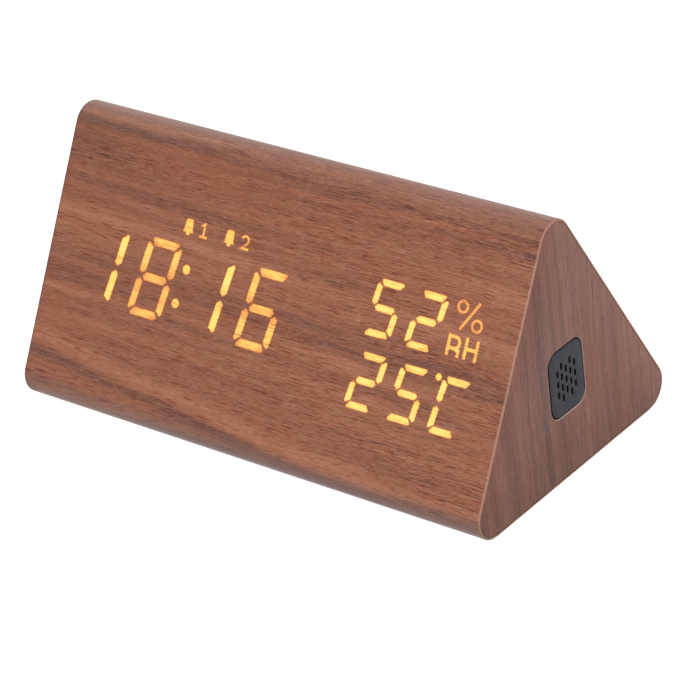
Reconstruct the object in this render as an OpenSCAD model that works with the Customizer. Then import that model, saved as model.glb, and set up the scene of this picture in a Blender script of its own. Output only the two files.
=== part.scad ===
// Wedge-shaped digital alarm clock: a wood-grain case of mitred fibreboard with a display that
// shines through the film of the front, a sensor vent in the right end, controls in the back
// and a battery bay in the base. Millimetres, +X to the right of the front, +Y to the back,
// +Z up, origin on the table under the middle of the case.

/* [Case] */
// Overall length, end to end
clock_length = 150; // [135:1:200]
// Overall height, from the table to the rounded top edge
clock_height = 70.5; // [70:0.5:84]
// Outer radius of the three long edges
edge_radius = 6.3; // [3:0.1:8]
// Thickness of the wood-grain film
film_thick = 0.6; // [0.4:0.05:0.8]
// Thickness of the fibreboard in the three long walls
board_thick = 5.4; // [5:0.1:6]
// Thickness of the fibreboard in the two ends
end_board_thick = 5; // [4:0.1:6]

/* [Display] */
// Hours and minutes on show
shown_time = "1816"; // 4
// Relative humidity on show
shown_humidity = "52"; // 2
// Temperature on show, with its letter
shown_temperature = "25C"; // 3
// Sideways lean of the digits for each unit of height
digit_lean = 0.144; // [0:0.01:0.2]
// Height of a time digit
time_digit_h = 21.1; // [18:0.1:23]
// Width of a time digit before its lean
time_digit_w = 11.7; // [10:0.1:12.5]
// Stroke of a time digit
time_stroke = 2.3; // [1.6:0.05:2.6]
// Distance between time digits
time_pitch = 17.95; // [17:0.05:18.5]
// Diameter of the two dots between hours and minutes
colon_dot = 2.6; // [1.5:0.1:3]
// Distance between those dots up the face
colon_spread = 9.2; // [7:0.1:11]
// Middle of the time along the face, from the left end
time_x = 46.05; // [45:0.05:48]
// Middle of the time up the face, from the middle of the face
time_y = -1; // [-2:0.1:0]
// Height of a digit of the two readings
reading_digit_h = 14.65; // [12:0.05:15.5]
// Width of a digit of the readings before its lean
reading_digit_w = 8.95; // [7.5:0.05:9.5]
// Stroke of a digit of the readings
reading_stroke = 1.85; // [1.3:0.05:2]
// Distance between digits of the readings
reading_pitch = 12.85; // [12.5:0.05:13.2]
// Last humidity digit along the face, from the right end
humidity_x = 27.2; // [26.15:0.05:28.15]
// Middle of the humidity row up the face
humidity_y = 7.9; // [7.5:0.1:9]
// Last temperature digit along the face, from the right end
temperature_x = 15.25; // [14.3:0.05:16.3]
// Middle of the temperature row up the face
temperature_y = -10.7; // [-11:0.1:-9.5]
// Diameter of the degree dot
degree_dot = 2; // [1:0.1:2.4]
// Middle of the row of alarm marks up the face
mark_y = 14.4; // [14:0.1:15]
// First bell along the face, from the left end
first_bell_x = 44.65; // [44:0.05:46]
// Distance from the first bell to the second
bell_pitch = 13.65; // [12:0.05:15]
// Stroke of the per cent sign
sign_stroke = 0.75; // [0.6:0.05:1]

/* [Light box] */
// Gap between the display's circuit board and each end board
display_end_gap = 1.4; // [1:0.1:1.8]
// Length of that board past each end of the light box
display_lap = 2.5; // [2:0.1:3]
// Height of the light box up the face
box_h = 40; // [39.5:0.5:42]
// Middle of the light box along the face
box_x = 0.4; // [0:0.1:0.6]
// Middle of the light box up the face
box_y = -0.9; // [-1.5:0.1:0]
// Thickness of the diffuser sheet
diffuser_thick = 0.4; // [0.2:0.05:0.6]
// Margin of the display circuit board round the light box, up and down
display_margin = 5; // [4.5:0.1:6]
// Thickness of the circuit boards
pcb_thick = 1.6; // [1:0.1:2]

/* [Vent grille] */
// Width of the grille's window
grille_w = 14.2; // [13:0.1:16]
// Height of the grille's window
grille_h = 18.3; // [16:0.1:20]
// Corner radius of the grille
grille_radius = 3.4; // [2:0.1:4]
// Height of the grille's middle above the table
grille_z = 26.8; // [25:0.1:28]
// Width of a slot
slot_w = 0.85; // [0.5:0.05:1.1]
// Length of a slot
slot_l = 2; // [1.2:0.1:2.4]
// Distance between columns of slots
slot_pitch_x = 1.79; // [1.6:0.01:2]
// Distance between slots in a column
slot_pitch_y = 2.96; // [2.7:0.02:3.2]

/* [Controls] */
// Width of the control panel's window
panel_w = 76; // [76:0.5:84]
// Height of the control panel's window
panel_h = 18; // [17:0.5:20]
// Middle of the control panel up the back, from the middle of the back
panel_y = 2; // [1:0.1:4]
// Corner radius of the control panel and the battery tray
insert_radius = 2.5; // [1.5:0.1:4]
// Depth of the grille and the panel below the wood
insert_recess = 0.5; // [0.2:0.05:0.8]
// Thickness of the face of the panel
panel_plate = 2; // [1.5:0.1:2.4]
// Diameter of a button
button_d = 7; // [5:0.1:8]
// Height of a button above the panel
button_proud = 0.9; // [0.6:0.05:1.5]
// Travel of a button
button_travel = 0.5; // [0.2:0.05:0.8]
// Distance between buttons
button_pitch = 12; // [11.5:0.1:13]
// Diameter of the hole in the power socket
socket_bore = 3.7; // [3:0.1:4]
// Diameter of the pin in the power socket
socket_pin = 1.3; // [1:0.05:1.6]

/* [Battery bay] */
// Length of a cell without its button
cell_l = 43.7; // [43:0.1:45]
// Diameter of a cell
cell_d = 10.5; // [9.5:0.1:10.6]
// Wall of the battery tray
tray_wall = 1.6; // [1.2:0.1:2]
// Thickness of the battery door
door_thick = 1.8; // [1.4:0.1:2.2]
// Depth of the door below the base
door_recess = 0.3; // [0.2:0.05:0.6]
// Radius of the door's hinge pins
pin_r = 0.6; // [0.4:0.05:0.65]
// Length of the door's hinge pins
pin_l = 1; // [0.8:0.1:1.1]

/* [Hidden] */
$fn = 48;

// Colours
walnut = "#7d4c36";
fibreboard = "#a98458";
amber = "#ffbe3c";
black_abs = "#232324";
white_abs = "#efefea";
board_green = "#1f6440";
steel = "#b4b8bd";
nickel = "#c9c6bd";

// Clearances
glue = 0.03;
inlay_gap = 0.05;
fit = 0.1;
slip = 0.15;
running = 0.05;
thread_gap = 0.02;
cut = 1;

// Section of the case: an equilateral triangle with rounded corners
sharp_h = clock_height + edge_radius;
inradius = sharp_h / 3;
side = 2 * sharp_h / sqrt(3);
flat_half = side / 2 - sqrt(3) * edge_radius;
wall = film_thick + glue + board_thick;
end_wall = film_thick + glue + end_board_thick;
board_l = clock_length - 2 * (film_thick + glue);

// Shares of the stroke that shape a segment. The ends of a bar and of a post are corners measured
// from the point where their middle lines cross
BAR_END = [[-0.53, -0.5], [-0.05, 0.11], [-0.04, 0.28], [-0.14, 0.45], [-0.25, 0.5]];
POST_END = [[0.5, -0.4], [0.45, -0.25], [0.33, -0.16], [0.15, -0.13], [-0.5, -0.64]];
tip_set = 0.2;
tip_run = 0.4;

// Places along the face, from the middle of the case
time_middle = time_x - clock_length / 2;
first_bell = first_bell_x - clock_length / 2;
humidity_last = clock_length / 2 - humidity_x;
humidity_first = humidity_last - reading_pitch;
temperature_last = clock_length / 2 - temperature_x;
temperature_first = temperature_last - 2 * reading_pitch;

// Light box and display circuit board, as depths below the front
box_front = film_thick + glue + diffuser_thick;
display_l = clock_length - 2 * (end_wall + display_end_gap);
display_h = box_h + 2 * display_margin;
box_l = display_l - 2 * display_lap;
display_screw_in = 6;
led_l = 1.6;
led_w = 0.8;
led_t = 0.8;
well_inset = 0.2;

// Screws: radius of the head, its height, radius and length of the shank
screw_head_r = 1.8;
screw_head_h = 1.3;
screw_r = 1;
screw_bite = 3.5;

// Flanges, walls and boards behind the inserts
flange_w = 4;
flange_thick = 1.2;
insert_wall = 1.2;
grille_plate = 1.5;
sensor_board_thick = 1;
post_h = 9;
post_r = 2.2;
main_depth = insert_recess + panel_plate + post_h;
main_back = main_depth + pcb_thick;
main_l = 73;
main_h = 14.8;
post_from_end = 3.5;
post_from_side = 2.8;
main_post_x = main_l / 2 - post_from_end;
main_post_y = main_h / 2 - post_from_side;

// Buttons and their switches, in the view from behind
button_in = 7;
socket_in = 9;
button_x = [for (k = [0:2]) button_in - main_post_x + button_pitch * k];
socket_x = main_post_x - socket_in;
microphone_x = (button_x[2] + socket_x) / 2;
switch_size = 6;
switch_h = 3.5;
switch_cap = 1.5;
plunger_r = 1.7;
plunger_in = 0.9;
button_flange = 1;
button_skirt = 1;
stem_r = 1.6;

// Battery bay, as depths above the underside of the base
cell_gap = 0.3;
cell_rib = 0.5;
cell_pitch = cell_d + cell_rib + 2 * slip;
cell_button_l = 0.8;
cell_button_r = 1.9;
plate_thick = 0.4;
spring_l = 5;
spring_wire = 0.8;
spring_turns = 3;
spring_wide = 3.6;
spring_narrow = 2.2;
bay_l = cell_l + cell_button_l + spring_l + 2 * plate_thick;
bay_w = 3 * cell_pitch;
door_gap = 0.2;
door_ledge = 1.6;
mouth_l = bay_l + 2 * door_ledge + door_thick;
mouth_w = bay_w + 2 * door_ledge;
door_seat = door_recess + door_thick + door_gap;
cell_depth = door_seat + cell_gap + cell_d / 2;
bay_floor = cell_depth + cell_d / 2 + fit;
tray_l = mouth_l + 2 * tray_wall;
tray_w = mouth_w + 2 * tray_wall;
pivot_x = -mouth_l / 2 + door_gap + door_thick / 2;
pivot_depth = door_recess + door_thick / 2;

// Parts in a row along the inner face of the main board, with equal gaps between its posts
chip_l = 10;
chip_w = 7.5;
chip_h = 2;
crystal_r = 1;
crystal_l = 6;
buzzer_r = 6;
buzzer_h = 7.5;
buzzer_hole_r = 1;
backup_r = 6.25;
backup_h = 2;
holder_floor = 0.8;
holder_wall = 0.8;
holder_r = backup_r + slip + holder_wall;
plug_h = 4.5;
plug_l = 15;
plug_w = 4;
row = [2 * holder_r, chip_l, 2 * crystal_r, plug_l, 2 * buzzer_r];
row_gap = (2 * main_post_x - sum(row, len(row))) / (len(row) + 1);
backup_x = row_x(0);
chip_x = row_x(1);
crystal_x = row_x(2);
ribbon_x = -row_x(3);
buzzer_x = row_x(4);

function sum(list, count) = count == 0 ? 0 : list[count - 1] + sum(list, count - 1);

function row_x(i) = -main_post_x + sum(row, i) + row[i] / 2 + (i + 1) * row_gap;

// Ribbon cable and leads
ribbon_w = 12;
ribbon_thick = 0.9;
ribbon_turn = main_back + plug_h + 0.6;
ribbon_r = 2 * (inradius * cos(30) - panel_y / 2 - ribbon_turn * cos(30));
ribbon_steps = 12;
lead_r = 0.6;
lead_rings = 14;
lead_sides = 8;
lead_reach = 7;
lead_stub = 1.6;

// Frames: z points out of the case and depths count down from the surface
module on_front() {
    translate([0, -inradius * cos(30), 1.5 * inradius]) rotate([60, 0, 0]) children();
}

module on_rear() {
    rotate([0, 0, 180]) on_front() children();
}

module on_base() {
    rotate([180, 0, 0]) children();
}

module on_right() {
    translate([clock_length / 2, 0, 0]) rotate([90, 0, 90]) children();
}

module on_left() {
    rotate([0, 0, 180]) on_right() children();
}

// Slab of an outline, from a depth below the surface to a greater one
module slab(from, to) {
    translate([0, 0, -to]) linear_extrude(to - from) children();
}

module along_length(length) {
    rotate([90, 0, 90]) linear_extrude(length, center = true) children();
}

// Outlines
function corner_angle(k) = 120 * k - 30;

function polar(radius, angle) = radius * [cos(angle), sin(angle)];

function corner_centre(k) =
    [0, inradius] + polar(2 * (inradius - edge_radius), corner_angle(k));

module rounded_section(inset) {
    radius = edge_radius - inset;
    polygon([for (k = [0:2], turn = [-60, 60])
        corner_centre(k) + polar(radius, corner_angle(k) + turn)]);
    for (k = [0:2]) translate(corner_centre(k)) circle(radius);
}

module sharp_section(inset) {
    polygon([for (k = [0:2]) [0, inradius] + polar(2 * (inradius - inset), corner_angle(k))]);
}

module rounded_rect(w, h, radius) {
    square([w - 2 * radius, h], center = true);
    square([w, h - 2 * radius], center = true);
    for (x = [-1, 1], y = [-1, 1]) {
        translate([x * (w / 2 - radius), y * (h / 2 - radius)]) circle(radius);
    }
}

module slot_outline(w, l) {
    square([w, l - w], center = true);
    for (end = [-1, 1]) translate([0, end * (l - w) / 2]) circle(w / 2);
}

// Outline of a band of one width along a path of points
function unit(v) = v / norm(v);

function left_of(v) = [-v.y, v.x];

function path_turn(path, i) =
    let (last = len(path) - 1,
        before = left_of(unit(path[max(i, 1)] - path[max(i, 1) - 1])),
        after = left_of(unit(path[min(i, last - 1) + 1] - path[min(i, last - 1)])))
    (before + after) / (1 + before * after);

function band(path, w) =
    let (last = len(path) - 1)
    concat([for (i = [0:last]) path[i] - w / 2 * path_turn(path, i)],
        [for (i = [last:-1:0]) path[i] + w / 2 * path_turn(path, i)]);

// Closed outline, counterclockwise, moved inwards
function inset_loop(points, inset) =
    let (n = len(points))
    [for (i = [0:n - 1])
        let (before = left_of(unit(points[i] - points[(i + n - 1) % n])),
            after = left_of(unit(points[(i + 1) % n] - points[i])))
        points[i] + inset * (before + after) / (1 + before * after)];

function arc(centre, radius, from, to, steps = 10) =
    [for (i = [0:steps]) centre + polar(radius, from + (to - from) * i / steps)];

// Seven-segment digits: segments 0 to 5 go clockwise from the top bar, 6 is the middle bar
function backwards(points) = [for (i = [len(points) - 1:-1:0]) points[i]];

function mirrored(points, mx, my) =
    let (flipped = [for (p = points) [mx * p.x, my * p.y]])
    mx * my > 0 ? flipped : backwards(flipped);

function both_halves(points) = concat(points, mirrored(points, -1, 1));

function segment(k, w, h, stroke) =
    let (half = stroke / 2, x = (w - stroke) / 2, y = (h - stroke) / 2,
        tip = tip_set * stroke, shoulder = tip + tip_run * stroke,
        bar = both_halves([for (p = BAR_END) [x, y] + stroke * p]),
        post = concat([[x - half, shoulder], [x, tip], [x + half, shoulder]],
            [for (p = POST_END) [x, y] + stroke * p]),
        middle = both_halves([[x - shoulder, -half], [x - tip, 0], [x - shoulder, half]]))
    k == 0 ? bar : k == 3 ? mirrored(bar, 1, -1) : k == 6 ? middle :
    mirrored(post, k < 3 ? 1 : -1, k == 1 || k == 5 ? 1 : -1);

function leaning(points) = [for (p = points) [p.x + digit_lean * p.y, p.y]];

// Segments that show a digit, each by its number
SHOWN = [["0", [0, 1, 2, 3, 4, 5]], ["1", [1, 2]], ["2", [0, 1, 3, 4, 6]], ["3", [0, 1, 2, 3, 6]],
    ["4", [1, 2, 5, 6]], ["5", [0, 2, 3, 5, 6]], ["6", [0, 2, 3, 4, 5, 6]], ["7", [0, 1, 2]],
    ["8", [0, 1, 2, 3, 4, 5, 6]], ["9", [0, 1, 2, 3, 5, 6]], ["C", [0, 3, 4, 5]]];
EVERY_SEGMENT = [0, 1, 2, 3, 4, 5, 6];

function shown_segments(digit) = SHOWN[search([digit], SHOWN)[0]][1];

function time_digit_x(i) = time_middle + (i - 1.5) * time_pitch;

module digit(segments, w, h, stroke, inset) {
    for (k = segments) polygon(inset_loop(leaning(segment(k, w, h, stroke)), inset));
}

module time_digit(i, segments, inset) {
    translate([time_digit_x(i), time_y]) {
        digit(segments, time_digit_w, time_digit_h, time_stroke, inset);
    }
}

module reading_digit(x, y, i, segments, inset) {
    translate([x + i * reading_pitch, y]) {
        digit(segments, reading_digit_w, reading_digit_h, reading_stroke, inset);
    }
}

module colon_dots(inset) {
    for (up = [-0.5, 0.5]) {
        translate([time_middle + digit_lean * up * colon_spread, time_y + up * colon_spread]) {
            circle(colon_dot / 2 - inset);
        }
    }
}

module time_lit(inset) {
    for (i = [0:3]) time_digit(i, shown_segments(shown_time[i]), inset);
    colon_dots(inset);
}

// Alarm marks: a bell with its number beside it
bell_h = 4.4;
bell_brim = 3.5;
// Right half of a bell from its clapper up, as shares of half its brim and half its height
BELL_HALF = [[0.2, -1], [0.37, -0.88], [0.43, -0.68], [1, -0.65], [0.97, -0.51], [0.86, -0.34],
    [0.81, 0], [0.75, 0.62], [0.67, 0.88], [0.49, 1]];
numeral_x = 5.1;
numeral_h = 4;
numeral_w = 2.8;
numeral_stroke = 0.72;
flag_run = 1.05;
flag_drop = 0.65;
foot_w = 2.5;
hook_r = 1.1;

function second_bell_x() = first_bell + bell_pitch;

module bell(inset) {
    polygon(inset_loop(both_halves([for (p = BELL_HALF) [p.x * bell_brim / 2, p.y * bell_h / 2]]),
        inset));
}

module numeral_one(inset) {
    w = numeral_stroke - 2 * inset;
    top = numeral_h / 2 - numeral_stroke / 2;
    polygon(band([[-flag_run, top - flag_drop], [0, top], [0, -numeral_h / 2 + inset]], w));
    translate([0, numeral_stroke / 2 - numeral_h / 2]) square([foot_w, w], center = true);
}

module numeral_two(inset) {
    w = numeral_stroke - 2 * inset;
    base = numeral_stroke / 2 - numeral_h / 2;
    turn = numeral_h / 2 - numeral_stroke / 2 - hook_r;
    polygon(band(concat(arc([0, turn], hook_r, 165, -35), [[-hook_r, base], [numeral_w / 2, base]]),
        w));
}

module alarm_lit(inset) {
    translate([first_bell, mark_y]) bell(inset);
    translate([second_bell_x(), mark_y]) bell(inset);
    translate([first_bell + numeral_x, mark_y]) numeral_one(inset);
    translate([second_bell_x() + numeral_x, mark_y]) numeral_two(inset);
}

// Signs beside the readings, placed from the last digit of their row
percent_x = 12.15;
percent_y = 4;
percent_ring = 3.5;
percent_half = [2.55, 1.9];
slash_half = [2.2, 3.65];
letters_x = 9.3;
letters_y = -3.8;
letter_h = 5.3;
letter_w = 4.15;
letter_stroke = 0.95;
bowl_share = 0.27;
leg_drop = 0.5;
letter_gap = 1.05;
degree_x = -4.9;
degree_y = 6.4;

module percent_sign(inset) {
    for (end = [-1, 1]) {
        translate([end * percent_half.x, -end * percent_half.y]) difference() {
            circle(percent_ring / 2 - inset);
            circle(percent_ring / 2 - sign_stroke + inset);
        }
    }
    polygon(band([-slash_half, slash_half], sign_stroke - 2 * inset));
}

module letter_r(inset) {
    w = letter_stroke - 2 * inset;
    inner = letter_stroke / 2;
    left = -letter_w / 2 + inner;
    bowl = letter_h * bowl_share;
    middle = letter_h / 2 - inner - bowl;
    right = letter_w / 2 - inner - bowl;
    polygon(band([[left, -letter_h / 2], [left, letter_h / 2]], w));
    polygon(band(concat([[left, middle + bowl]], arc([right, middle], bowl, 90, -90),
        [[left, middle - bowl]]), w));
    polygon(band([[right, middle - bowl], [letter_w / 2 - inner, middle - bowl - leg_drop],
        [letter_w / 2 - inner, -letter_h / 2]], w));
}

module letter_h_shape(inset) {
    w = letter_stroke - 2 * inset;
    for (end = [-1, 1]) {
        translate([end * (letter_w - letter_stroke) / 2, 0]) square([w, letter_h], center = true);
    }
    square([letter_w - letter_stroke, w], center = true);
}

module humidity_lit(inset) {
    for (i = [0:1]) {
        reading_digit(humidity_first, humidity_y, i, shown_segments(shown_humidity[i]), inset);
    }
    translate([humidity_last + percent_x, humidity_y + percent_y]) percent_sign(inset);
    translate([humidity_last + letters_x, humidity_y + letters_y]) letter_r(inset);
    translate([humidity_last + letters_x + letter_w + letter_gap, humidity_y + letters_y]) {
        letter_h_shape(inset);
    }
}

module temperature_lit(inset) {
    for (i = [0:2]) {
        reading_digit(temperature_first, temperature_y, i, shown_segments(shown_temperature[i]), inset);
    }
    translate([temperature_last + degree_x, temperature_y + degree_y]) circle(degree_dot / 2 - inset);
}

// Chambers behind the small signs, each [x, y, width, height]
chamber_gap = 0.45;
degree_gap = 0.2;
bell_side = (numeral_x + numeral_w / 2 - bell_brim / 2) / 2;
mark_w = numeral_x + numeral_w / 2 + bell_brim / 2;
CHAMBERS = [for (c = [
    [first_bell + bell_side, mark_y, mark_w, bell_h, chamber_gap],
    [second_bell_x() + bell_side, mark_y, mark_w, bell_h, chamber_gap],
    [humidity_last + percent_x, humidity_y + percent_y, 2 * percent_half.x + percent_ring,
        2 * slash_half.y, chamber_gap],
    [humidity_last + letters_x + (letter_w + letter_gap) / 2, humidity_y + letters_y,
        2 * letter_w + letter_gap, letter_h, chamber_gap],
    [temperature_last + degree_x, temperature_y + degree_y, degree_dot, degree_dot, degree_gap]])
    [c[0], c[1], c[2] + 2 * c[4], c[3] + 2 * c[4]]];

// Screw with its head on a surface, biting down
module screw(bite) {
    cylinder(h = screw_head_h, r = screw_head_r);
    translate([0, 0, -bite]) cylinder(h = bite, r = screw_r);
}

module screw_hole(bite) {
    translate([0, 0, -bite - 0.5]) cylinder(h = bite + 0.5 + cut, r = screw_r + thread_gap);
}

// Fasteners of each group, as points on their face
display_screw_points = [for (x = [-1, 0, 1], y = [-1, 1])
    [box_x + x * (box_l / 2 - display_screw_in), box_y + y * (display_h / 2 - screw_head_r - 0.6)]];
grille_screw_points = [for (y = [-1, 1]) [0, grille_z + y * (grille_h / 2 + flange_w / 2)]];
panel_screw_points = [for (x = [-1, 1], y = [-1, 1])
    [x * (panel_w / 2 - 4), panel_y + y * (panel_h / 2 + flange_w / 2)]];
main_screw_points = [for (x = [-1, 1], y = [-1, 1])
    [x * main_post_x, panel_y + y * main_post_y]];
tray_screw_points = [for (x = [-1, 1], y = [-1, 1])
    [x * (tray_l / 2 - 6), y * (tray_w / 2 + flange_w / 2)]];

module at_points(points, depth) {
    for (p = points) translate([p.x, p.y, -depth]) children();
}

module in_from_behind() {
    rotate([180, 0, 0]) children();
}

// Windows that the film and the boards share
module grille_window() {
    translate([0, grille_z]) rounded_rect(grille_w, grille_h, grille_radius);
}

module panel_window() {
    translate([0, panel_y]) rounded_rect(panel_w, panel_h, insert_radius);
}

module tray_window() {
    rounded_rect(tray_l + 2 * fit, tray_w + 2 * fit, insert_radius);
}

// Film of the case
module wrap_film() {
    color(walnut) difference() {
        along_length(clock_length) difference() {
            rounded_section(0);
            rounded_section(film_thick);
            translate([-flat_half, -cut]) square([2 * flat_half, film_thick + 2 * cut]);
        }
        on_front() slab(-cut, film_thick + cut) {
            time_lit(0);
            alarm_lit(0);
            humidity_lit(0);
            temperature_lit(0);
        }
        on_rear() slab(-cut, film_thick + cut) panel_window();
    }
}

module base_film() {
    color(walnut) on_base() slab(0, film_thick) difference() {
        square([clock_length, 2 * (flat_half - inlay_gap)], center = true);
        tray_window();
    }
}

module end_film_outline() {
    intersection() {
        rounded_section(film_thick + glue);
        translate([-side / 2, film_thick + glue]) square([side, sharp_h]);
    }
}

module left_end_film() {
    color(walnut) on_left() slab(0, film_thick) end_film_outline();
}

module right_end_film() {
    color(walnut) on_right() slab(0, film_thick) difference() {
        end_film_outline();
        grille_window();
    }
}

// Boards of the case. Each long wall is a third of the section, mitred to its neighbours
module wall_section() {
    intersection() {
        difference() {
            rounded_section(film_thick + glue);
            sharp_section(wall);
        }
        translate([0, inradius - glue]) {
            polygon([[0, 0], polar(3 * inradius, -150), polar(3 * inradius, -30)]);
        }
    }
}

module wall_board(turn) {
    along_length(board_l) translate([0, inradius]) rotate(turn) {
        translate([0, -inradius]) wall_section();
    }
}

module front_board() {
    color(fibreboard) difference() {
        wall_board(-120);
        on_front() slab(0, wall + cut) translate([box_x, box_y]) {
            square([box_l + 2 * fit, box_h + 2 * fit], center = true);
        }
        on_front() at_points(display_screw_points, wall) in_from_behind() screw_hole(screw_bite);
    }
}

module rear_board() {
    color(fibreboard) difference() {
        wall_board(120);
        on_rear() slab(-cut, wall + cut) panel_window();
        on_rear() at_points(panel_screw_points, wall) in_from_behind() screw_hole(screw_bite);
    }
}

module base_board() {
    color(fibreboard) difference() {
        wall_board(0);
        on_base() slab(-cut, wall + cut) tray_window();
        on_base() at_points(tray_screw_points, wall) in_from_behind() screw_hole(screw_bite);
    }
}

module end_board() {
    slab(film_thick + glue, end_wall) sharp_section(wall + glue);
}

module left_end_board() {
    color(fibreboard) on_left() end_board();
}

module right_end_board() {
    color(fibreboard) on_right() difference() {
        end_board();
        slab(0, end_wall + cut) grille_window();
        at_points(grille_screw_points, end_wall) in_from_behind() screw_hole(screw_bite);
    }
}

// Lit patches, flush with the film
module time_digits() {
    color(amber) on_front() slab(0, film_thick) time_lit(inlay_gap);
}

module alarm_marks() {
    color(amber) on_front() slab(0, film_thick) alarm_lit(inlay_gap);
}

module humidity_reading() {
    color(amber) on_front() slab(0, film_thick) humidity_lit(inlay_gap);
}

module temperature_reading() {
    color(amber) on_front() slab(0, film_thick) temperature_lit(inlay_gap);
}

// Light behind the film
module box_outline() {
    translate([box_x, box_y]) square([box_l, box_h], center = true);
}

module diffuser_sheet() {
    color("#f7f3e4") on_front() slab(film_thick + glue, box_front) box_outline();
}

module digit_wells() {
    for (i = [0:3]) time_digit(i, EVERY_SEGMENT, well_inset);
    colon_dots(well_inset);
    for (i = [0:1]) reading_digit(humidity_first, humidity_y, i, EVERY_SEGMENT, well_inset);
    for (i = [0:2]) reading_digit(temperature_first, temperature_y, i, EVERY_SEGMENT, well_inset);
}

module light_box() {
    color(white_abs) on_front() difference() {
        slab(box_front, wall) box_outline();
        slab(box_front - cut, wall + cut) {
            digit_wells();
            for (c = CHAMBERS) translate([c[0], c[1]]) square([c[2], c[3]], center = true);
        }
    }
}

module display_circuit_board() {
    color(board_green) on_front() difference() {
        slab(wall, wall + pcb_thick) translate([box_x, box_y]) {
            square([display_l, display_h], center = true);
        }
        at_points(display_screw_points, wall + pcb_thick) in_from_behind() screw_hole(pcb_thick);
    }
}

// Middle of a segment and the turn of its light, before the lean of the digit
function segment_middle(k, w, h, stroke) =
    let (x = (w - stroke) / 2, y = (h - stroke) / 2)
    k == 0 ? [0, y] : k == 3 ? [0, -y] : k == 6 ? [0, 0] :
    [k < 3 ? x : -x, k == 1 || k == 5 ? y / 2 : -y / 2];

module digit_leds(w, h, stroke) {
    for (k = EVERY_SEGMENT) {
        middle = leaning([segment_middle(k, w, h, stroke)])[0];
        translate(middle) rotate(k % 3 == 0 ? 0 : 90 - atan(digit_lean)) {
            square([led_l, led_w], center = true);
        }
    }
}

module display_leds() {
    color("#ffe9a0") on_front() slab(wall - led_t, wall) {
        for (i = [0:3]) translate([time_digit_x(i), time_y]) {
            digit_leds(time_digit_w, time_digit_h, time_stroke);
        }
        for (i = [0:1]) translate([humidity_first + i * reading_pitch, humidity_y]) {
            digit_leds(reading_digit_w, reading_digit_h, reading_stroke);
        }
        for (i = [0:2]) translate([temperature_first + i * reading_pitch, temperature_y]) {
            digit_leds(reading_digit_w, reading_digit_h, reading_stroke);
        }
        for (c = CHAMBERS) translate([c[0], c[1]]) square([led_l, led_w], center = true);
        for (up = [-0.5, 0.5]) {
            translate([time_middle + digit_lean * up * colon_spread, time_y + up * colon_spread]) {
                square(led_w, center = true);
            }
        }
    }
}

module display_screws() {
    color(steel) on_front() at_points(display_screw_points, wall + pcb_thick) {
        in_from_behind() screw(pcb_thick + screw_bite);
    }
}

// Insert that fills a window from inside: a face, a skirt through the wall, a flange behind it
module insert_shell(w, h, radius, depth, plate) {
    difference() {
        union() {
            slab(insert_recess, depth + flange_thick) {
                rounded_rect(w - 2 * fit, h - 2 * fit, radius - fit);
            }
            slab(depth, depth + flange_thick) {
                square([w + 2 * flange_w, h + 2 * flange_w], center = true);
            }
        }
        slab(insert_recess + plate, depth + flange_thick + cut) {
            rounded_rect(w - 2 * (fit + insert_wall), h - 2 * (fit + insert_wall),
                max(radius - fit - insert_wall, fit));
        }
    }
}

// Vent in the right end, with the sensor behind it
slot_columns = 5;
slots_long = 4;

module grille_slots() {
    for (i = [0:slot_columns - 1]) {
        rows = i % 2 == 0 ? slots_long - 1 : slots_long;
        for (j = [0:rows - 1]) {
            translate([(i - (slot_columns - 1) / 2) * slot_pitch_x,
                (j - (rows - 1) / 2) * slot_pitch_y]) {
                slot_outline(slot_w, slot_l);
            }
        }
    }
}

module vent_grille() {
    color(black_abs) on_right() difference() {
        translate([0, grille_z]) insert_shell(grille_w, grille_h, grille_radius, end_wall, grille_plate);
        slab(0, insert_recess + grille_plate + cut) translate([0, grille_z]) grille_slots();
        at_points(grille_screw_points, end_wall + flange_thick) {
            in_from_behind() screw_hole(flange_thick);
        }
    }
}

sensor_front = end_wall + flange_thick;
sensor_back = sensor_front + sensor_board_thick;
sensor_w = 8.5;
sensor_h = 11;
sensor_gap = 0.6;

module sensor_circuit_board() {
    color(board_green) on_right() difference() {
        slab(sensor_front, sensor_back) translate([0, grille_z]) {
            square([grille_w + flange_w, grille_h + 2 * flange_w], center = true);
        }
        at_points(grille_screw_points, sensor_back) {
            in_from_behind() screw_hole(sensor_board_thick);
        }
    }
}

module humidity_sensor() {
    front = insert_recess + grille_plate + sensor_gap;
    color(black_abs) on_right() translate([0, grille_z]) difference() {
        slab(front, sensor_front) rounded_rect(sensor_w, sensor_h, 1);
        slab(front - cut, front + 1) {
            for (x = [-1:1], y = [-1:1]) translate([x * 2.2, y * 3]) square([1.2, 2], center = true);
        }
    }
}

module grille_screws() {
    color(steel) on_right() at_points(grille_screw_points, sensor_back) {
        in_from_behind() screw(sensor_board_thick + flange_thick + screw_bite);
    }
}

// Controls in the back
plate_back = insert_recess + panel_plate;
socket_mouth = 5.5;
microphone_hole = 1.2;

module control_panel() {
    color(black_abs) on_rear() translate([0, panel_y]) difference() {
        union() {
            insert_shell(panel_w, panel_h, insert_radius, wall, panel_plate);
            for (x = [-1, 1], y = [-1, 1]) {
                translate([x * main_post_x, y * main_post_y, 0]) slab(plate_back - fit, main_depth) {
                    circle(post_r);
                }
            }
        }
        for (x = button_x) translate([x, 0]) slab(0, plate_back + cut) circle(button_d / 2 + slip);
        translate([socket_x, 0]) slab(0, plate_back + cut) circle(socket_mouth / 2);
        translate([microphone_x, 0]) slab(0, plate_back + cut) circle(microphone_hole / 2);
        translate([0, -panel_y]) at_points(panel_screw_points, wall + flange_thick) {
            in_from_behind() screw_hole(flange_thick);
        }
        translate([0, -panel_y]) at_points(main_screw_points, main_depth) {
            in_from_behind() screw_hole(screw_bite);
        }
    }
}

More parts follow.
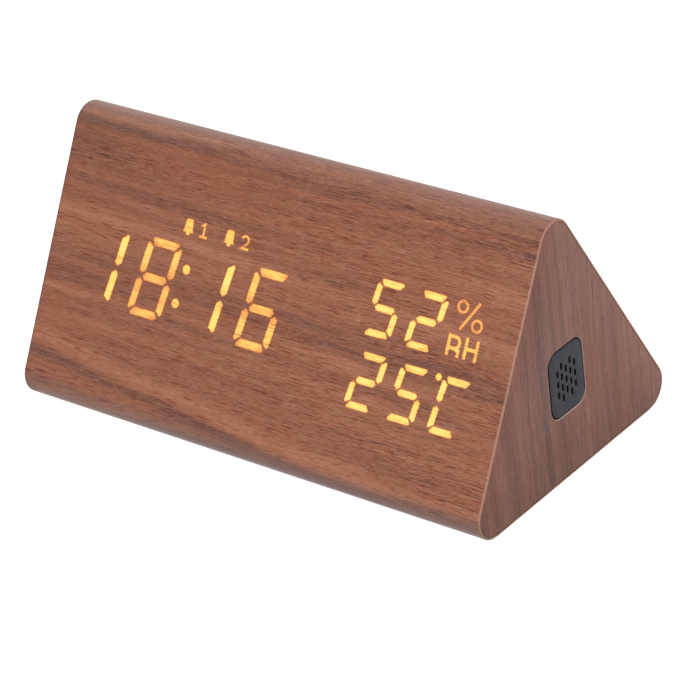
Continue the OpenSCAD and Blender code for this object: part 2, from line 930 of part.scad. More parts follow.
// Sign sunk in the top of each button: a ring, an arrow up and an arrow down
sign_depth = 0.3;
sign_size = 1.5;
plunger_top = main_depth - switch_h - switch_cap;

module set_sign() {
    difference() {
        circle(sign_size);
        circle(sign_size - numeral_stroke);
    }
}

module arrow_sign(up) {
    polygon([[-sign_size, -up * sign_size * 0.7], [sign_size, -up * sign_size * 0.7],
        [0, up * sign_size]]);
}

module button(k) {
    top = insert_recess - button_proud;
    skirt_front = plate_back + running;
    color(black_abs) on_rear() translate([button_x[k], panel_y]) difference() {
        union() {
            slab(top, skirt_front + button_skirt) circle(button_d / 2);
            slab(skirt_front, skirt_front + button_skirt) circle(button_d / 2 + button_flange);
            slab(skirt_front, plunger_top) circle(stem_r);
        }
        slab(top - cut, top + sign_depth) children();
    }
}

module set_button() {
    button(0) set_sign();
}

module up_button() {
    button(1) arrow_sign(1);
}

module down_button() {
    button(2) arrow_sign(-1);
}

module switch_plunger(k) {
    color("#3a3a3c") on_rear() translate([button_x[k], panel_y]) {
        slab(plunger_top, plunger_top + switch_cap + plunger_in) circle(plunger_r);
    }
}

module set_switch_plunger() {
    switch_plunger(0);
}

module up_switch_plunger() {
    switch_plunger(1);
}

module down_switch_plunger() {
    switch_plunger(2);
}

module tact_switches() {
    shell = main_depth - switch_h;
    color(steel) on_rear() for (x = button_x) translate([x, panel_y]) difference() {
        slab(shell, main_depth) square(switch_size, center = true);
        slab(shell - cut, shell + plunger_in + button_travel + running) {
            circle(plunger_r + running);
        }
    }
}

module main_circuit_board() {
    color(board_green) on_rear() difference() {
        slab(main_depth, main_back) translate([0, panel_y]) {
            square([main_l, main_h], center = true);
        }
        at_points(main_screw_points, main_back) in_from_behind() screw_hole(pcb_thick);
    }
}

socket_w = 8;
socket_floor = 1.5;

module power_socket() {
    mouth = plate_back + running;
    color("#2c2c2e") on_rear() translate([socket_x, panel_y]) {
        difference() {
            slab(mouth, main_depth) square([socket_w, socket_w], center = true);
            slab(mouth - cut, main_depth - socket_floor) circle(socket_bore / 2);
        }
        slab(mouth + 0.8, main_depth - socket_floor) circle(socket_pin / 2);
    }
}

microphone_r = 3;
microphone_h = 5;

module clock_chip() {
    color("#27272a") on_rear() translate([chip_x, panel_y]) {
        slab(main_back, main_back + chip_h) square([chip_l - 5, chip_w], center = true);
        for (i = [-3:3], s = [-1, 1]) {
            translate([s * (chip_l / 2 - 1.4), i]) slab(main_back, main_back + 0.6) {
                square([2.6, 0.4], center = true);
            }
        }
    }
}

module crystal() {
    color(nickel) on_rear() translate([crystal_x, panel_y, -main_back - crystal_r - running]) {
        rotate([90, 0, 0]) cylinder(h = crystal_l, r = crystal_r, center = true);
    }
}

module buzzer() {
    color("#202022") on_rear() translate([buzzer_x, panel_y]) difference() {
        slab(main_back, main_back + buzzer_h) circle(buzzer_r);
        slab(main_back + 2, main_back + buzzer_h + cut) circle(buzzer_hole_r);
    }
}

module microphone() {
    color(nickel) on_rear() translate([microphone_x, panel_y]) difference() {
        slab(main_depth - microphone_h, main_depth) circle(microphone_r);
        slab(main_depth - microphone_h - cut, main_depth - microphone_h + 0.6) {
            circle(microphone_hole / 2);
        }
    }
}

module backup_cell() {
    back = main_back + holder_floor;
    color(nickel) on_rear() translate([backup_x, panel_y]) {
        slab(back, back + backup_h - 0.4) circle(backup_r);
        slab(back + backup_h - 0.4, back + backup_h) circle(backup_r - 1);
    }
}

module backup_cell_holder() {
    rim = holder_r - holder_wall;
    color(black_abs) on_rear() translate([backup_x, panel_y]) difference() {
        slab(main_back, main_back + holder_floor + backup_h) circle(holder_r);
        slab(main_back + holder_floor, main_back + holder_floor + backup_h + cut) circle(rim);
        slab(main_back + holder_floor, main_back + holder_floor + backup_h + cut) {
            translate([-2.5, -rim - 2]) square([5, 3]);
        }
    }
}

module circuit_board_screws() {
    color(steel) on_rear() at_points(main_screw_points, main_back) {
        in_from_behind() screw(pcb_thick + screw_bite);
    }
}

module panel_screws() {
    color(steel) on_rear() at_points(panel_screw_points, wall + flange_thick) {
        in_from_behind() screw(flange_thick + screw_bite);
    }
}

// Battery bay in the base
scoop_r = 6;
scoop_depth = 1;
wire_hole_r = 0.8;

function cell_y(k) = (k - 1) * cell_pitch;

module battery_tray() {
    color(black_abs) on_base() difference() {
        union() {
            slab(door_recess, wall + flange_thick) rounded_rect(tray_l, tray_w, insert_radius - fit);
            slab(wall, wall + flange_thick) {
                square([tray_l, tray_w + 2 * flange_w], center = true);
            }
            slab(wall, bay_floor + tray_wall) {
                square([bay_l + 2 * tray_wall, bay_w + 2 * tray_wall], center = true);
            }
        }
        slab(0, door_seat) square([mouth_l, mouth_w], center = true);
        slab(door_seat - fit, bay_floor) difference() {
            square([bay_l, bay_w], center = true);
            for (k = [-0.5, 0.5]) {
                translate([0, k * cell_pitch]) square([cell_l * 0.8, cell_rib], center = true);
            }
        }
        translate([pivot_x, 0, -pivot_depth]) rotate([90, 0, 0]) {
            cylinder(h = mouth_w + 2 * (pin_l + fit), r = pin_r + running, center = true);
        }
        slab(0, door_recess + scoop_depth) translate([mouth_l / 2, 0]) circle(scoop_r);
        at_points(tray_screw_points, wall + flange_thick) in_from_behind() screw_hole(flange_thick);
    }
}

grip_pitch = 2.2;
grip_l = 14;
grip_depth = 0.4;
grip_count = 4;

module battery_door() {
    door_end = mouth_l / 2 - door_gap;
    door_w = mouth_w - 2 * door_gap;
    color(black_abs) on_base() difference() {
        union() {
            translate([0, door_w / 2, 0]) rotate([90, 0, 0]) linear_extrude(door_w) {
                translate([pivot_x, -pivot_depth]) circle(door_thick / 2);
                translate([pivot_x, -pivot_depth - door_thick / 2]) {
                    square([door_end - pivot_x, door_thick]);
                }
            }
            translate([pivot_x, 0, -pivot_depth]) rotate([90, 0, 0]) {
                cylinder(h = mouth_w + 2 * pin_l, r = pin_r, center = true);
            }
        }
        slab(0, door_recess + grip_depth) {
            for (k = [1:grip_count]) {
                translate([door_end - 3 - k * grip_pitch, 0]) square([1, grip_l], center = true);
            }
        }
    }
}

// Contacts: at one end of each cell a plate, at the other a conical spring on a plate
function cell_way(k) = k % 2 == 0 ? 1 : -1;

module facing_cell(k) {
    on_base() translate([0, cell_y(k), -cell_depth]) rotate(cell_way(k) > 0 ? 0 : 180) children();
}

module battery_plates() {
    contact = 8;
    color(nickel) for (k = [0:2], end = [-1, 1]) {
        facing_cell(k) translate([end * (bay_l - plate_thick) / 2, 0, 0]) {
            cube([plate_thick, contact, contact], center = true);
        }
    }
}

function spring_point(t) =
    let (r = spring_wide + (spring_narrow - spring_wide) * t, a = 360 * spring_turns * t)
    [spring_wire / 2 + t * (spring_l - spring_wire) , r * cos(a), r * sin(a)];

spring_rings = 8;
spring_steps = spring_rings * spring_turns;
spring_path = [for (i = [0:spring_steps]) spring_point(i / spring_steps)];
spring_gaps = [for (i = [0:spring_steps], j = [i + spring_rings / 2:spring_steps])
    if (j <= spring_steps) norm(spring_path[i] - spring_path[j]) - spring_wire];
echo("Least gap between the turns of a battery spring, mm", min(spring_gaps));

// Closed tube along points, its rings square to the path
function path_way(path, i) =
    unit(path[min(i + 1, len(path) - 1)] - path[max(i - 1, 0)]);

function ring(centre, way, radius, sides, guide) =
    let (u = unit(cross(way, guide)), v = cross(way, u))
    [for (s = [0:sides - 1])
        centre + radius * (cos(360 * s / sides) * u + sin(360 * s / sides) * v)];

module tube(path, radius, sides, guide) {
    last = len(path) - 1;
    points = [for (i = [0:last], p = ring(path[i], path_way(path, i), radius, sides, guide)) p];
    walls = [for (i = [0:last - 1], s = [0:sides - 1], half = [0, 1])
        let (a = i * sides + s, b = i * sides + (s + 1) % sides)
        half == 0 ? [a, b, b + sides] : [a, b + sides, a + sides]];
    caps = [for (s = [1:sides - 2], end = [0, 1])
        end == 0 ? [0, s + 1, s] : [last * sides, last * sides + s, last * sides + s + 1]];
    polyhedron(points, concat(walls, caps));
}

module battery_springs() {
    color(nickel) for (k = [0:2]) facing_cell(k) {
        translate([-bay_l / 2 + plate_thick, 0, 0]) tube(spring_path, spring_wire / 2, 6, [1, 0, 0]);
    }
}

module cell(k) {
    minus = -bay_l / 2 + plate_thick + spring_l;
    color("#4b6a8f") facing_cell(k) translate([minus, 0, 0]) rotate([0, 90, 0]) {
        cylinder(h = cell_l - fit, r = cell_d / 2);
        cylinder(h = cell_l - fit + cell_button_l, r = cell_button_r);
    }
}

module tray_screws() {
    color(steel) on_base() at_points(tray_screw_points, wall + flange_thick) {
        in_from_behind() screw(flange_thick + screw_bite);
    }
}

// Ribbon cable from the display's board to the main board, in the section of the case
function front_point(x, y, depth) =
    [x, depth * cos(30) - inradius * cos(30) + y / 2, 1.5 * inradius + y * cos(30) - depth / 2];

function rear_point(x, y, depth) =
    let (p = front_point(x, y, depth)) [-p.x, -p.y, p.z];

module ribbon_cable() {
    start = front_point(0, panel_y, wall + pcb_thick + plug_h);
    end = rear_point(0, panel_y, main_back + plug_h);
    bend = front_point(0, panel_y, ribbon_turn);
    middle = [0, bend.z + ribbon_r * cos(30)];
    path = concat([[start.y, start.z]], arc(middle, ribbon_r, -120, -60, ribbon_steps),
        [[end.y, end.z]]);
    color("#8d8f94") translate([ribbon_x, 0, 0]) along_length(ribbon_w) {
        polygon(band(path, ribbon_thick));
    }
}

module ribbon_plugs() {
    color(white_abs) {
        on_front() translate([ribbon_x, panel_y]) {
            slab(wall + pcb_thick, wall + pcb_thick + plug_h) square([plug_l, plug_w], center = true);
        }
        on_rear() translate([-ribbon_x, panel_y]) {
            slab(main_back, main_back + plug_h) square([plug_l, plug_w], center = true);
        }
    }
}

// Leads, each a smooth curve between straight stubs that stand square on what they meet
function curve_point(p, t) =
    pow(1 - t, 3) * p[0] + 3 * t * pow(1 - t, 2) * p[1] + 3 * t * t * (1 - t) * p[2]
    + pow(t, 3) * p[3];

module lead(start, start_way, end, end_way) {
    handles = [start + lead_stub * start_way, start + (lead_stub + lead_reach) * start_way,
        end + (lead_stub + lead_reach) * end_way, end + lead_stub * end_way];
    path = concat([start], [for (i = [0:lead_rings]) curve_point(handles, i / lead_rings)], [end]);
    tube(path, lead_r, lead_sides, [1, 0.2, 0]);
}

rear_inward = [0, -cos(30), -0.5];
lead_foot_x = 20;
lead_foot_y = 8;
lead_pad_x = 12;
lead_pad_y = -5.2;
sensor_lead_y = 3;
sensor_lead_z = 4;

module battery_lead(way) {
    foot = [way * lead_foot_x, lead_foot_y, bay_floor + tray_wall];
    pad = rear_point(-way * lead_pad_x, panel_y + lead_pad_y, main_back);
    lead(foot, [0, 0, 1], pad, rear_inward);
}

module positive_lead() {
    color("#b3221e") battery_lead(1);
}

module negative_lead() {
    color("#1d1d1f") battery_lead(-1);
}

module sensor_lead() {
    start = [clock_length / 2 - sensor_back, sensor_lead_y, grille_z + sensor_lead_z];
    pad = rear_point(-lead_pad_x, panel_y - lead_pad_y, main_back);
    color("#d9d9d2") lead(start, [-1, 0, 0], pad, rear_inward);
}

wrap_film();
base_film();
left_end_film();
right_end_film();
front_board();
rear_board();
base_board();
left_end_board();
right_end_board();
time_digits();
alarm_marks();
humidity_reading();
temperature_reading();
diffuser_sheet();
light_box();
display_circuit_board();
display_leds();
display_screws();
vent_grille();
sensor_circuit_board();
humidity_sensor();
grille_screws();
control_panel();
set_button();
up_button();
down_button();
set_switch_plunger();
up_switch_plunger();
down_switch_plunger();
tact_switches();
main_circuit_board();
power_socket();
clock_chip();
crystal();
backup_cell();
backup_cell_holder();
buzzer();
microphone();
circuit_board_screws();
panel_screws();
battery_tray();
battery_door();
battery_springs();
battery_plates();
cell(0);  // cell_1
cell(1);  // cell_2
cell(2);  // cell_3
tray_screws();
ribbon_cable();
ribbon_plugs();
positive_lead();
negative_lead();
sensor_lead();
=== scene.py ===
"""Looks of a wedge-shaped desk clock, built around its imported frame.

The case is wrapped in walnut film, through which the time and the readings shine. Lengths are in
metres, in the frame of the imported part: +X along the case, -Y to the front and +Z up.
"""

import logging
import math
from dataclasses import dataclass, field
from enum import Enum
from typing import Iterable, Sequence

import bpy
import numpy as np
from mathutils import Matrix, Vector
from mathutils.geometry import delaunay_2d_cdt


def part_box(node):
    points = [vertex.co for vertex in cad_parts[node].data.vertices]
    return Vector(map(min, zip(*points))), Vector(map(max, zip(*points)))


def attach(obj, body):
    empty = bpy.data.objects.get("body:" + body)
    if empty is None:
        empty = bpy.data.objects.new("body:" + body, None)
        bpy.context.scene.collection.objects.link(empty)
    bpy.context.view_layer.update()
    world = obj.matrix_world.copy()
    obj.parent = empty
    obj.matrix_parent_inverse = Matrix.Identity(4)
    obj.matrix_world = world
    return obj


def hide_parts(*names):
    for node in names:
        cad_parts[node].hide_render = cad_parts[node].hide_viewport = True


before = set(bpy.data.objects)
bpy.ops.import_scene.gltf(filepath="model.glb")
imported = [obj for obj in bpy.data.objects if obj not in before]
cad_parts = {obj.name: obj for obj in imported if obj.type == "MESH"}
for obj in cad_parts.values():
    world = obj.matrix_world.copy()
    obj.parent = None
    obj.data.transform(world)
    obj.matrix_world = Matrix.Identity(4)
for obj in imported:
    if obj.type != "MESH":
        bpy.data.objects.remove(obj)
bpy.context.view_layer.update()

MM = 0.001
LOG = logging.getLogger("clock")

# Degrees: where the film starts, at the front of the base, and from each side to the next
FILM_START = 270
CORNER_TURN = 120

# Faces that look this far out of a side, and are level within this length, make one flat face.
# Their points are one where they agree to this many decimals of a millimetre
FACING = 0.99
LEVEL = 0.01 * MM
KEY_DIGITS = 4

# Edges at least this sharp stay sharp, and round corners are cut into this many pieces
SHARP_ANGLE = math.radians(40)
CORNER_STEPS = 8

# A limit for the points of sharp corners that are moved, and guards against a division by zero
LEAST_SPREAD = 0.35
TINY_LENGTH = 1e-12
TINY_AREA = 1e-18

# How an area is filled with triangles: only inside its outline, with points this near joined
TRIANGLES_INSIDE = 1
MERGE_WITHIN = 1e-7

Color = tuple[float, float, float, float]
Place = tuple[float, float]
Loop = list[Place]
Socket = bpy.types.NodeSocket
Value = Socket | float
BendTable = tuple[tuple[int, float, float], ...]


# Case geometry


class Side(Enum):
    """Flat sides of the case."""

    FRONT = "front"
    REAR = "rear"
    BASE = "base"
    RIGHT = "right"
    LEFT = "left"


@dataclass(frozen=True)
class FlatSide:
    """A flat side: a point on it, and its right, up and outward directions."""

    origin: Vector
    right: Vector
    up: Vector
    out: Vector

    def point(self, x: float, y: float, depth: float = 0.0) -> Vector:
        """Returns the point at a place on the side, a depth below its surface."""
        return self.origin + x * self.right + y * self.up - depth * self.out

    def local(self, point: Vector) -> tuple[float, float, float]:
        """Returns the place and the depth of a point."""
        offset = point - self.origin
        return offset.dot(self.right), offset.dot(self.up), -offset.dot(self.out)


@dataclass(frozen=True)
class CaseSection:
    """The case: its equilateral section with rounded long edges, its ends and its windows' heights."""

    length: float = 150 * MM
    height: float = 70.5 * MM
    edge_radius: float = 6.3 * MM
    film: float = 0.6 * MM
    glue: float = 0.03 * MM
    panel_up: float = 2 * MM
    vent_up: float = 26.8 * MM

    @property
    def inradius(self) -> float:
        """Distance from the middle of the section to each side."""
        return (self.height + self.edge_radius) / 3

    @property
    def flat_half(self) -> float:
        """Half of the flat width of a side."""
        return math.sqrt(3) * (self.inradius - self.edge_radius)

    @property
    def arc_run(self) -> float:
        """Length of film round one long edge."""
        return self.edge_radius * math.radians(CORNER_TURN)

    @property
    def stretch(self) -> float:
        """Length of film from the start of one long edge to the start of the next."""
        return self.arc_run + 2 * self.flat_half

    def side(self, side: Side) -> FlatSide:
        """Gives the frame of a side.

        Args:
            side: The side of the case.

        Returns:
            Its frame, seen from outside.
        """
        half_turn = math.radians(CORNER_TURN / 2)
        lean, rise = math.sin(half_turn), math.cos(half_turn)
        forward = Vector((0, -self.inradius * lean, self.inradius * (1 + rise)))
        end = Vector((self.length / 2, 0, 0))
        x, y, z = Vector((1, 0, 0)), Vector((0, 1, 0)), Vector((0, 0, 1))
        frames = {
            Side.FRONT: (forward, x, rise * y + lean * z, rise * z - lean * y),
            Side.REAR: (Vector((0, -forward.y, forward.z)), -x, lean * z - rise * y,
                        rise * z + lean * y),
            Side.BASE: (Vector(), x, -y, -z),
            Side.RIGHT: (end, y, z, x),
            Side.LEFT: (-end, -y, z, -x),
        }
        return FlatSide(*frames[side])

    def corner_centre(self, corner: int) -> Place:
        """Gives the middle of a rounded long edge.

        Args:
            corner: 0 at the front of the base, 1 at the top, 2 at the back of the base.

        Returns:
            Its place across and up the section.
        """
        reach = 2 * (self.inradius - self.edge_radius)
        angle = math.radians(FILM_START - CORNER_TURN * (corner + 0.5))
        return reach * math.cos(angle), self.inradius + reach * math.sin(angle)

    def profile(self, inset: float, steps: int, support: float = 0.0) -> list[tuple[Place, Place]]:
        """Walks round the section, from the front of the base over the top to its back.

        Args:
            inset: Distance inside the outer surface.
            steps: Pieces that each rounded edge is cut into.
            support: Distance from each rounded edge to an extra point on the flat, or 0.

        Returns:
            A place on the section and the outward direction there, for each point.
        """
        points = []
        for corner in range(3):
            centre = self.corner_centre(corner)
            for step in range(steps + 1):
                angle = math.radians(FILM_START - CORNER_TURN * corner - CORNER_TURN * step / steps)
                way = (math.cos(angle), math.sin(angle))
                along = (math.sin(angle), -math.cos(angle))
                radius = self.edge_radius - inset
                place = (centre[0] + radius * way[0], centre[1] + radius * way[1])
                shift = (support * along[0], support * along[1])
                if support and step == 0 and corner > 0:
                    points.append(((place[0] - shift[0], place[1] - shift[1]), way))
                points.append((place, way))
                if support and step == steps and corner < 2:
                    points.append(((place[0] + shift[0], place[1] + shift[1]), way))
        return points

    def run_at(self, y: float, z: float) -> float:
        """Measures how far round the wrapped film a point lies.

        Args:
            y: Place across the section.
            z: Place up the section.

        Returns:
            Length of film from the front of the base to that point.
        """
        for corner in range(3):
            centre = self.corner_centre(corner)
            angle = math.degrees(math.atan2(z - centre[1], y - centre[0]))
            turn = (FILM_START - CORNER_TURN * corner - angle) % 360
            if turn <= CORNER_TURN:
                return corner * self.stretch + self.edge_radius * math.radians(turn)
        middle = self.arc_run + self.flat_half
        if y < 0:
            return middle + self.side(Side.FRONT).local(Vector((0, y, z)))[1]
        return self.stretch + middle - self.side(Side.REAR).local(Vector((0, y, z)))[1]

    def at_bends(self, runs: np.ndarray, table: BendTable) -> np.ndarray:
        """Reads values that are given at places on the long edges.

        Args:
            runs: Places round the film.
            table: A corner, a share of its turn and the value there, in each row.

        Returns:
            The value at each place, in proportion between two rows.
        """
        places = [corner * self.stretch + share * self.arc_run for corner, share, _ in table]
        return np.interp(runs, places, [value for _, _, value in table])


# Meshes


def rect(half_x: float, half_y: float) -> Loop:
    """Draws a rectangle round the origin, counterclockwise."""
    return [(-half_x, -half_y), (half_x, -half_y), (half_x, half_y), (-half_x, half_y)]


def rounded_rect(width: float, height: float, radius: float, middle: Place = (0, 0)) -> Loop:
    """Draws a rectangle with round corners, counterclockwise.

    Args:
        width: Size along the first axis.
        height: Size along the second axis.
        radius: Radius of the corners.
        middle: Middle of the rectangle.

    Returns:
        The points of the outline.
    """
    loop = []
    for quarter in range(4):
        sign_x = 1 if quarter in (0, 3) else -1
        sign_y = 1 if quarter < 2 else -1
        for step in range(CORNER_STEPS + 1):
            angle = math.radians(90 * quarter + 90 * step / CORNER_STEPS)
            loop.append((middle[0] + sign_x * (width / 2 - radius) + radius * math.cos(angle),
                         middle[1] + sign_y * (height / 2 - radius) + radius * math.sin(angle)))
    return loop


def offset_loop(loop: Loop, inset: float) -> Loop:
    """Moves a closed loop to the left of its direction.

    Args:
        loop: The points of the loop.
        inset: Distance to the left, or to the right where negative.

    Returns:
        The moved points, one for each.
    """
    points = np.array(loop)
    ahead = np.roll(points, -1, axis=0) - points
    ahead /= np.maximum(np.linalg.norm(ahead, axis=1, keepdims=True), TINY_LENGTH)
    left = np.stack((-ahead[:, 1], ahead[:, 0]), axis=1)
    before = np.roll(left, 1, axis=0)
    spread = np.maximum(1 + (left * before).sum(axis=1, keepdims=True), LEAST_SPREAD)
    moved = points + inset * (left + before) / spread
    return [(float(x), float(y)) for x, y in moved]


def inside_loops(points: np.ndarray, loops: Sequence[Loop]) -> np.ndarray:
    """Tells which points lie inside an odd number of loops.

    Args:
        points: Places, one in each row.
        loops: Closed loops.

    Returns:
        True for each point inside.
    """
    inside = np.zeros(len(points), bool)
    for loop in loops:
        corners = np.array(loop)
        for first, second in zip(corners, np.roll(corners, -1, axis=0)):
            spans = (first[1] > points[:, 1]) != (second[1] > points[:, 1])
            if first[1] == second[1]:
                continue
            share = (points[:, 1] - first[1]) / (second[1] - first[1])
            inside ^= spans & (points[:, 0] < first[0] + share * (second[0] - first[0]))
    return inside


def distance_to_loops(points: np.ndarray, loops: Sequence[Loop]) -> np.ndarray:
    """Measures how far points lie from the nearest of some loops.

    Args:
        points: Places, one in each row.
        loops: Closed loops.

    Returns:
        The distance of each point.
    """
    nearest = np.full(len(points), np.inf)
    for loop in loops:
        corners = np.array(loop)
        for first, second in zip(corners, np.roll(corners, -1, axis=0)):
            way = second - first
            share = ((points - first) @ way) / max(float(way @ way), TINY_AREA)
            foot = first + np.clip(share, 0, 1)[:, None] * way
            nearest = np.minimum(nearest, np.linalg.norm(points - foot, axis=1))
    return nearest


def fill_loops(loops: Sequence[Loop], extra: Sequence[Place] = ()) -> tuple[list[Place], list]:
    """Fills the area inside loops with triangles.

    Args:
        loops: Outlines and holes, none crossing.
        extra: Further points inside the area.

    Returns:
        The points, those of the loops first and in order, and the triangles between them.
    """
    places = [place for loop in loops for place in loop] + list(extra)
    edges = []
    start = 0
    for loop in loops:
        edges += [(start + i, start + (i + 1) % len(loop)) for i in range(len(loop))]
        start += len(loop)
    scale = 1 / MM
    scaled = [Vector((place[0] * scale, place[1] * scale)) for place in places]
    made = delaunay_2d_cdt(scaled, edges, [], TRIANGLES_INSIDE, MERGE_WITHIN, True)
    _, _, made_faces, made_from = made[:4]
    first_of = [sources[0] for sources in made_from]
    triangles = np.array([[first_of[i] for i in face] for face in made_faces])
    corners = np.array(places)[triangles]
    keep = inside_loops(corners.mean(axis=1), loops)
    return places, [tuple(int(i) for i in face) for face in triangles[keep]]


@dataclass
class Shell:
    """Points and faces of a mesh, gathered before it becomes an object."""

    points: list[Vector] = field(default_factory=list)
    faces: list[tuple[int, ...]] = field(default_factory=list)

    def ring(self, points: Iterable[Vector]) -> list[int]:
        """Adds points.

        Args:
            points: The points.

        Returns:
            Their numbers.
        """
        start = len(self.points)
        self.points += list(points)
        return list(range(start, len(self.points)))

    def bridge(self, first: list[int], second: list[int]) -> None:
        """Joins two rings of equal length by four-sided faces.

        Args:
            first: The ring that lies deeper or further back.
            second: The next ring.
        """
        for i in range(len(first)):
            j = (i + 1) % len(first)
            self.faces.append((first[i], first[j], second[j], second[i]))

    def loft(self, rings: Sequence[list[int]]) -> None:
        """Joins rings in order, and closes the first and the last.

        Args:
            rings: Numbers of the points of each ring.
        """
        for first, second in zip(rings, rings[1:]):
            self.bridge(first, second)
        self.faces += [tuple(rings[0][::-1]), tuple(rings[-1])]

    def cap(self, rings: Sequence[list[int]], places: Sequence[Loop], flip: bool = False) -> None:
        """Closes flat rings that share one plane.

        Args:
            rings: Numbers of the points of each ring.
            places: Places of the same points on their plane.
            flip: Whether the faces look the other way.
        """
        numbers = [number for ring in rings for number in ring]
        for face in fill_loops(places)[1]:
            corners = tuple(numbers[i] for i in face)
            self.faces.append(corners[::-1] if flip else corners)

    def to_object(self, name: str) -> bpy.types.Object:
        """Makes the object.

        Args:
            name: Name of the piece.

        Returns:
            The object, linked to the scene.
        """
        mesh = bpy.data.meshes.new(name)
        mesh.from_pydata([tuple(point) for point in self.points], [], self.faces)
        piece = bpy.data.objects.new(name, mesh)
        bpy.context.scene.collection.objects.link(piece)
        smooth(piece)
        return piece


def smooth(piece: bpy.types.Object) -> None:
    """Shades a mesh smooth, apart from its sharp edges."""
    piece.data.polygons.foreach_set("use_smooth", [True] * len(piece.data.polygons))
    piece.data.set_sharp_from_angle(angle=SHARP_ANGLE)


def set_attribute(piece: bpy.types.Object, name: str, values: np.ndarray) -> None:
    """Stores a number or a vector for each point of a mesh.

    Args:
        piece: The object.
        name: Name of the attribute.
        values: One number, or one row of three, for each point.
    """
    kind, key = ("FLOAT_VECTOR", "vector") if values.ndim == 2 else ("FLOAT", "value")
    attribute = piece.data.attributes.new(name, kind, "POINT")
    attribute.data.foreach_set(key, values.astype(np.float32).ravel())


def flat_outlines(node: str, side: FlatSide) -> list[Loop]:
    """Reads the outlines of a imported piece's highest face on a side of the case.

    Args:
        node: Name of the piece.
        side: The side that the face looks out of.

    Returns:
        Loops with the face on their left, as places on the side.
    """
    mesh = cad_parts[node].data
    faces = [polygon for polygon in mesh.polygons if polygon.normal.dot(side.out) > FACING]
    top = min(side.local(polygon.center)[2] for polygon in faces)
    place_of = {}
    edges = {}
    for polygon in faces:
        if side.local(polygon.center)[2] > top + LEVEL:
            continue
        keys = []
        for number in polygon.vertices:
            x, y, _ = side.local(mesh.vertices[number].co)
            key = (round(x / MM, KEY_DIGITS), round(y / MM, KEY_DIGITS))
            place_of[key] = (x, y)
            keys.append(key)
        for first, second in zip(keys, keys[1:] + keys[:1]):
            if edges.get(second) and first in edges[second]:
                edges[second].remove(first)
            else:
                edges.setdefault(first, []).append(second)
    loops = []
    for start in list(edges):
        while edges.get(start):
            loop = [start]
            following = edges[start].pop()
            while following != start:
                loop.append(following)
                following = edges[following].pop()
            loops.append([place_of[key] for key in loop])
    return loops


@dataclass
class Plate:
    """A flat moulded piece with rounded rims round its outline and its holes."""

    face: FlatSide
    outline: Loop
    holes: list[Loop]
    top: float
    thick: float
    rim: float
    steps: int = 4
    hole_rim: float = 0.0

    def build(self, name: str) -> bpy.types.Object:
        """Makes the plate.

        Args:
            name: Name of the piece.

        Returns:
            The object.
        """
        shell = Shell()
        loops = [self.outline] + [hole[::-1] for hole in self.holes]
        rims = [self.rim] + [self.hole_rim or self.rim] * len(self.holes)
        tops, top_places, floors = [], [], []
        for loop, rim in zip(loops, rims):
            floor = shell.ring(self.face.point(x, y, self.top + self.thick) for x, y in loop)
            floors.append(floor)
            below = floor
            for step in range(self.steps + 1):
                angle = math.radians(90 * step / self.steps)
                moved = offset_loop(loop, rim * (1 - math.cos(angle)))
                depth = self.top + rim * (1 - math.sin(angle))
                ring = shell.ring(self.face.point(x, y, depth) for x, y in moved)
                shell.bridge(below, ring)
                below = ring
            tops.append(below)
            top_places.append(moved)
        shell.cap(tops, top_places)
        shell.cap(floors, loops, flip=True)
        return shell.to_object(name)


@dataclass
class Turning:
    """A piece turned round an axis, from its profile of distances along the axis and radii."""

    start: Vector
    axis: Vector
    profile: list[Place]
    steps: int = 40

    def build(self, name: str) -> bpy.types.Object:
        """Makes the piece.

        Args:
            name: Name of the piece.

        Returns:
            The object, closed where its profile starts and ends.
        """
        shell = Shell()
        across = self.axis.orthogonal().normalized()
        other = self.axis.cross(across)
        turns = [2 * math.pi * k / self.steps for k in range(self.steps)]
        spokes = [math.cos(turn) * across + math.sin(turn) * other for turn in turns]
        rings = []
        for along, radius in self.profile:
            middle = self.start + along * self.axis
            rings.append(shell.ring(middle + radius * spoke for spoke in spokes))
        shell.loft(rings)
        return shell.to_object(name)


def cut_out(piece: bpy.types.Object, cutter: bpy.types.Object) -> None:
    """Cuts one closed mesh out of another, and removes the cutter.

    Args:
        piece: The object to cut.
        cutter: The object to take away.
    """
    boolean = piece.modifiers.new("window", "BOOLEAN")
    boolean.object = cutter
    boolean.operation = "DIFFERENCE"
    boolean.solver = "EXACT"
    bpy.context.view_layer.update()
    cut = piece.evaluated_get(bpy.context.evaluated_depsgraph_get())
    piece.data = bpy.data.meshes.new_from_object(cut)
    piece.data.name = piece.name
    piece.modifiers.clear()
    bpy.data.objects.remove(cutter)


# Finishes


MATERIALS: dict[str, bpy.types.Material] = {}


